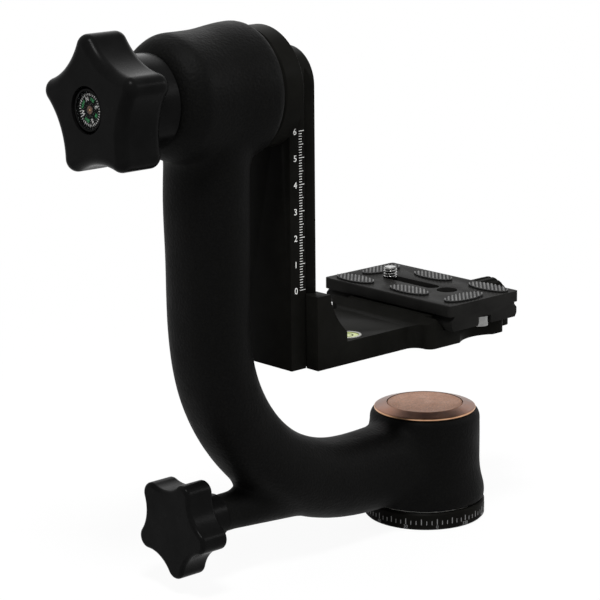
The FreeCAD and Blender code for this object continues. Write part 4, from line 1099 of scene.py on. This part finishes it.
class GIMBAL_OT_pads(bpy.types.Operator):
    """Ribbed rubber pads of the camera plate"""
    bl_idname = "gimbal.pads"
    bl_label = "Plate pads"

    half_wide, half_long, rib_angle = 5.1 * MM, 11.4 * MM, -45
    shift_y = -0.6 * MM    # of the pads' middle from the plate's
    pairs = (              # one pad of each pair, and whether it lies along Y
        (-15.8 * MM, 27.7 * MM, True), (6.3 * MM, 33.0 * MM, False), (-14.1 * MM, -6.1 * MM, True))

    def execute(self, context):
        s = sizes()
        low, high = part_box("plate_pads")
        parts = []
        for x, y, along_y in self.spots():
            half_x, half_y = self.half_wide, self.half_long
            if not along_y:
                half_x, half_y = half_y, half_x
            parts.append(grown(pad_tree, {
                "Half X": half_x, "Half Y": half_y, "Base": high.z - low.z - s.rib_depth,
                "Rib": s.rib_depth, "Pitch": s.rib_pitch, "Angle": math.radians(self.rib_angle),
                "Centre": (x, y, low.z)}, finish_for("rubber")))
        piece = join_meshes("ribbed_pads", parts, finish_for("rubber"))
        settle(piece, "plate", 25.0, ["plate_pads"])
        return {"FINISHED"}

    def spots(self):
        """Middle of each pad; the second of a pair is the first turned half round."""
        low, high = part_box("camera_plate")
        middle = (low.y + high.y) / 2 + self.shift_y
        for x, y, along_y in self.pairs:
            yield x, middle + y, along_y
            yield -x, middle - y, along_y


class GIMBAL_OT_threads(bpy.types.Operator):
    """Camera screw with its real thread"""
    bl_idname = "gimbal.threads"
    bl_label = "Threads"

    crest_radius, length = 3.175 * MM, 4.9 * MM
    groove, bevel = 0.68 * MM, 0.8 * MM
    below, tip_gap = 0.1 * MM, 0.2 * MM    # the core thins below the thread and ends under its tip

    def execute(self, context):
        s = sizes()
        low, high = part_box("camera_screw")
        middle_y = (low.y + high.y) / 2
        core = merged_copy("camera_screw")
        points, faces = mesh_parts(core)
        bpy.data.meshes.remove(core)
        offset = points[:, :2] - (0.0, middle_y)
        reach = np.hypot(offset[:, 0], offset[:, 1])
        wall = (points[:, 2] > high.z - self.length - self.below) & (reach > s.thread_core)
        points[wall, :2] = (0.0, middle_y) + offset[wall] * (s.thread_core / reach[wall])[:, None]
        points[:, 2] = np.minimum(points[:, 2], high.z - self.tip_gap)
        stud = grown(thread_tree, {
            "Radius": self.crest_radius, "Length": self.length, "Pitch": s.thread_pitch,
            "Groove": self.groove, "Bevel": self.bevel,
            "Centre": (0.0, middle_y, high.z - self.length / 2)}, finish_for("thread"))
        piece = join_meshes("camera_screw_threaded", [(points, faces), stud], finish_for("thread"))
        settle(piece, "screw", 25.0, ["camera_screw"])
        return {"FINISHED"}


class GIMBAL_OT_level(bpy.types.Operator):
    """Ring line of the round level"""
    bl_idname = "gimbal.level"
    bl_label = "Bubble level"

    line_inner, line_outer, line_rise = 2.0 * MM, 2.5 * MM, 0.06 * MM

    def execute(self, context):
        low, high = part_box("level_vial")
        middle = (low + high) / 2
        points, faces = ring_band(self.line_inner, self.line_outer, self.line_rise)
        parts = [(points + np.array([middle.x, middle.y, high.z]), faces)]
        settle(join_meshes("level_ring_line", parts, finish_for("dial")), "platform", MARK_ANGLE)
        return {"FINISHED"}


class GIMBAL_PT_panel(bpy.types.Panel):
    """Lists the steps that dress the head"""
    bl_idname = "GIMBAL_PT_panel"
    bl_label = "Gimbal Head"
    bl_space_type = "VIEW_3D"
    bl_region_type = "UI"
    bl_category = "Gimbal Head"

    def draw(self, context):
        for step in STEPS:
            self.layout.operator(step.bl_idname)
        for name, group in GROUPS.items():
            box = self.layout.box()
            for value in group.__annotations__:
                box.prop(getattr(context.scene, name), value)


STEPS = (
    GIMBAL_OT_stage, GIMBAL_OT_nodes, GIMBAL_OT_arm, GIMBAL_OT_machined, GIMBAL_OT_pan_scale,
    GIMBAL_OT_height_scale, GIMBAL_OT_compass, GIMBAL_OT_pads, GIMBAL_OT_threads, GIMBAL_OT_level,
)
GROUPS = {"gimbal_sizes": HeadSizes, "gimbal_colours": HeadColours, "gimbal_stage": HeadStage}


def register():
    """Adds the groups, the steps and the panel."""
    for name, group in GROUPS.items():
        bpy.utils.register_class(group)
        setattr(bpy.types.Scene, name, PointerProperty(type=group))
    for kind in (*STEPS, GIMBAL_PT_panel):
        bpy.utils.register_class(kind)


def unregister():
    """Takes them out again, the last one first."""
    for kind in (GIMBAL_PT_panel, *reversed(STEPS)):
        bpy.utils.unregister_class(kind)
    for name, group in GROUPS.items():
        delattr(bpy.types.Scene, name)
        bpy.utils.unregister_class(group)


def main():
    """Runs every step in order."""
    register()
    for step in STEPS:
        group, name = step.bl_idname.split(".")
        if getattr(getattr(bpy.ops, group), name)() != {"FINISHED"}:
            raise RuntimeError(step.bl_idname + " didn't finish")
    bpy.context.view_layer.update()


if __name__ == "__main__":
    main()
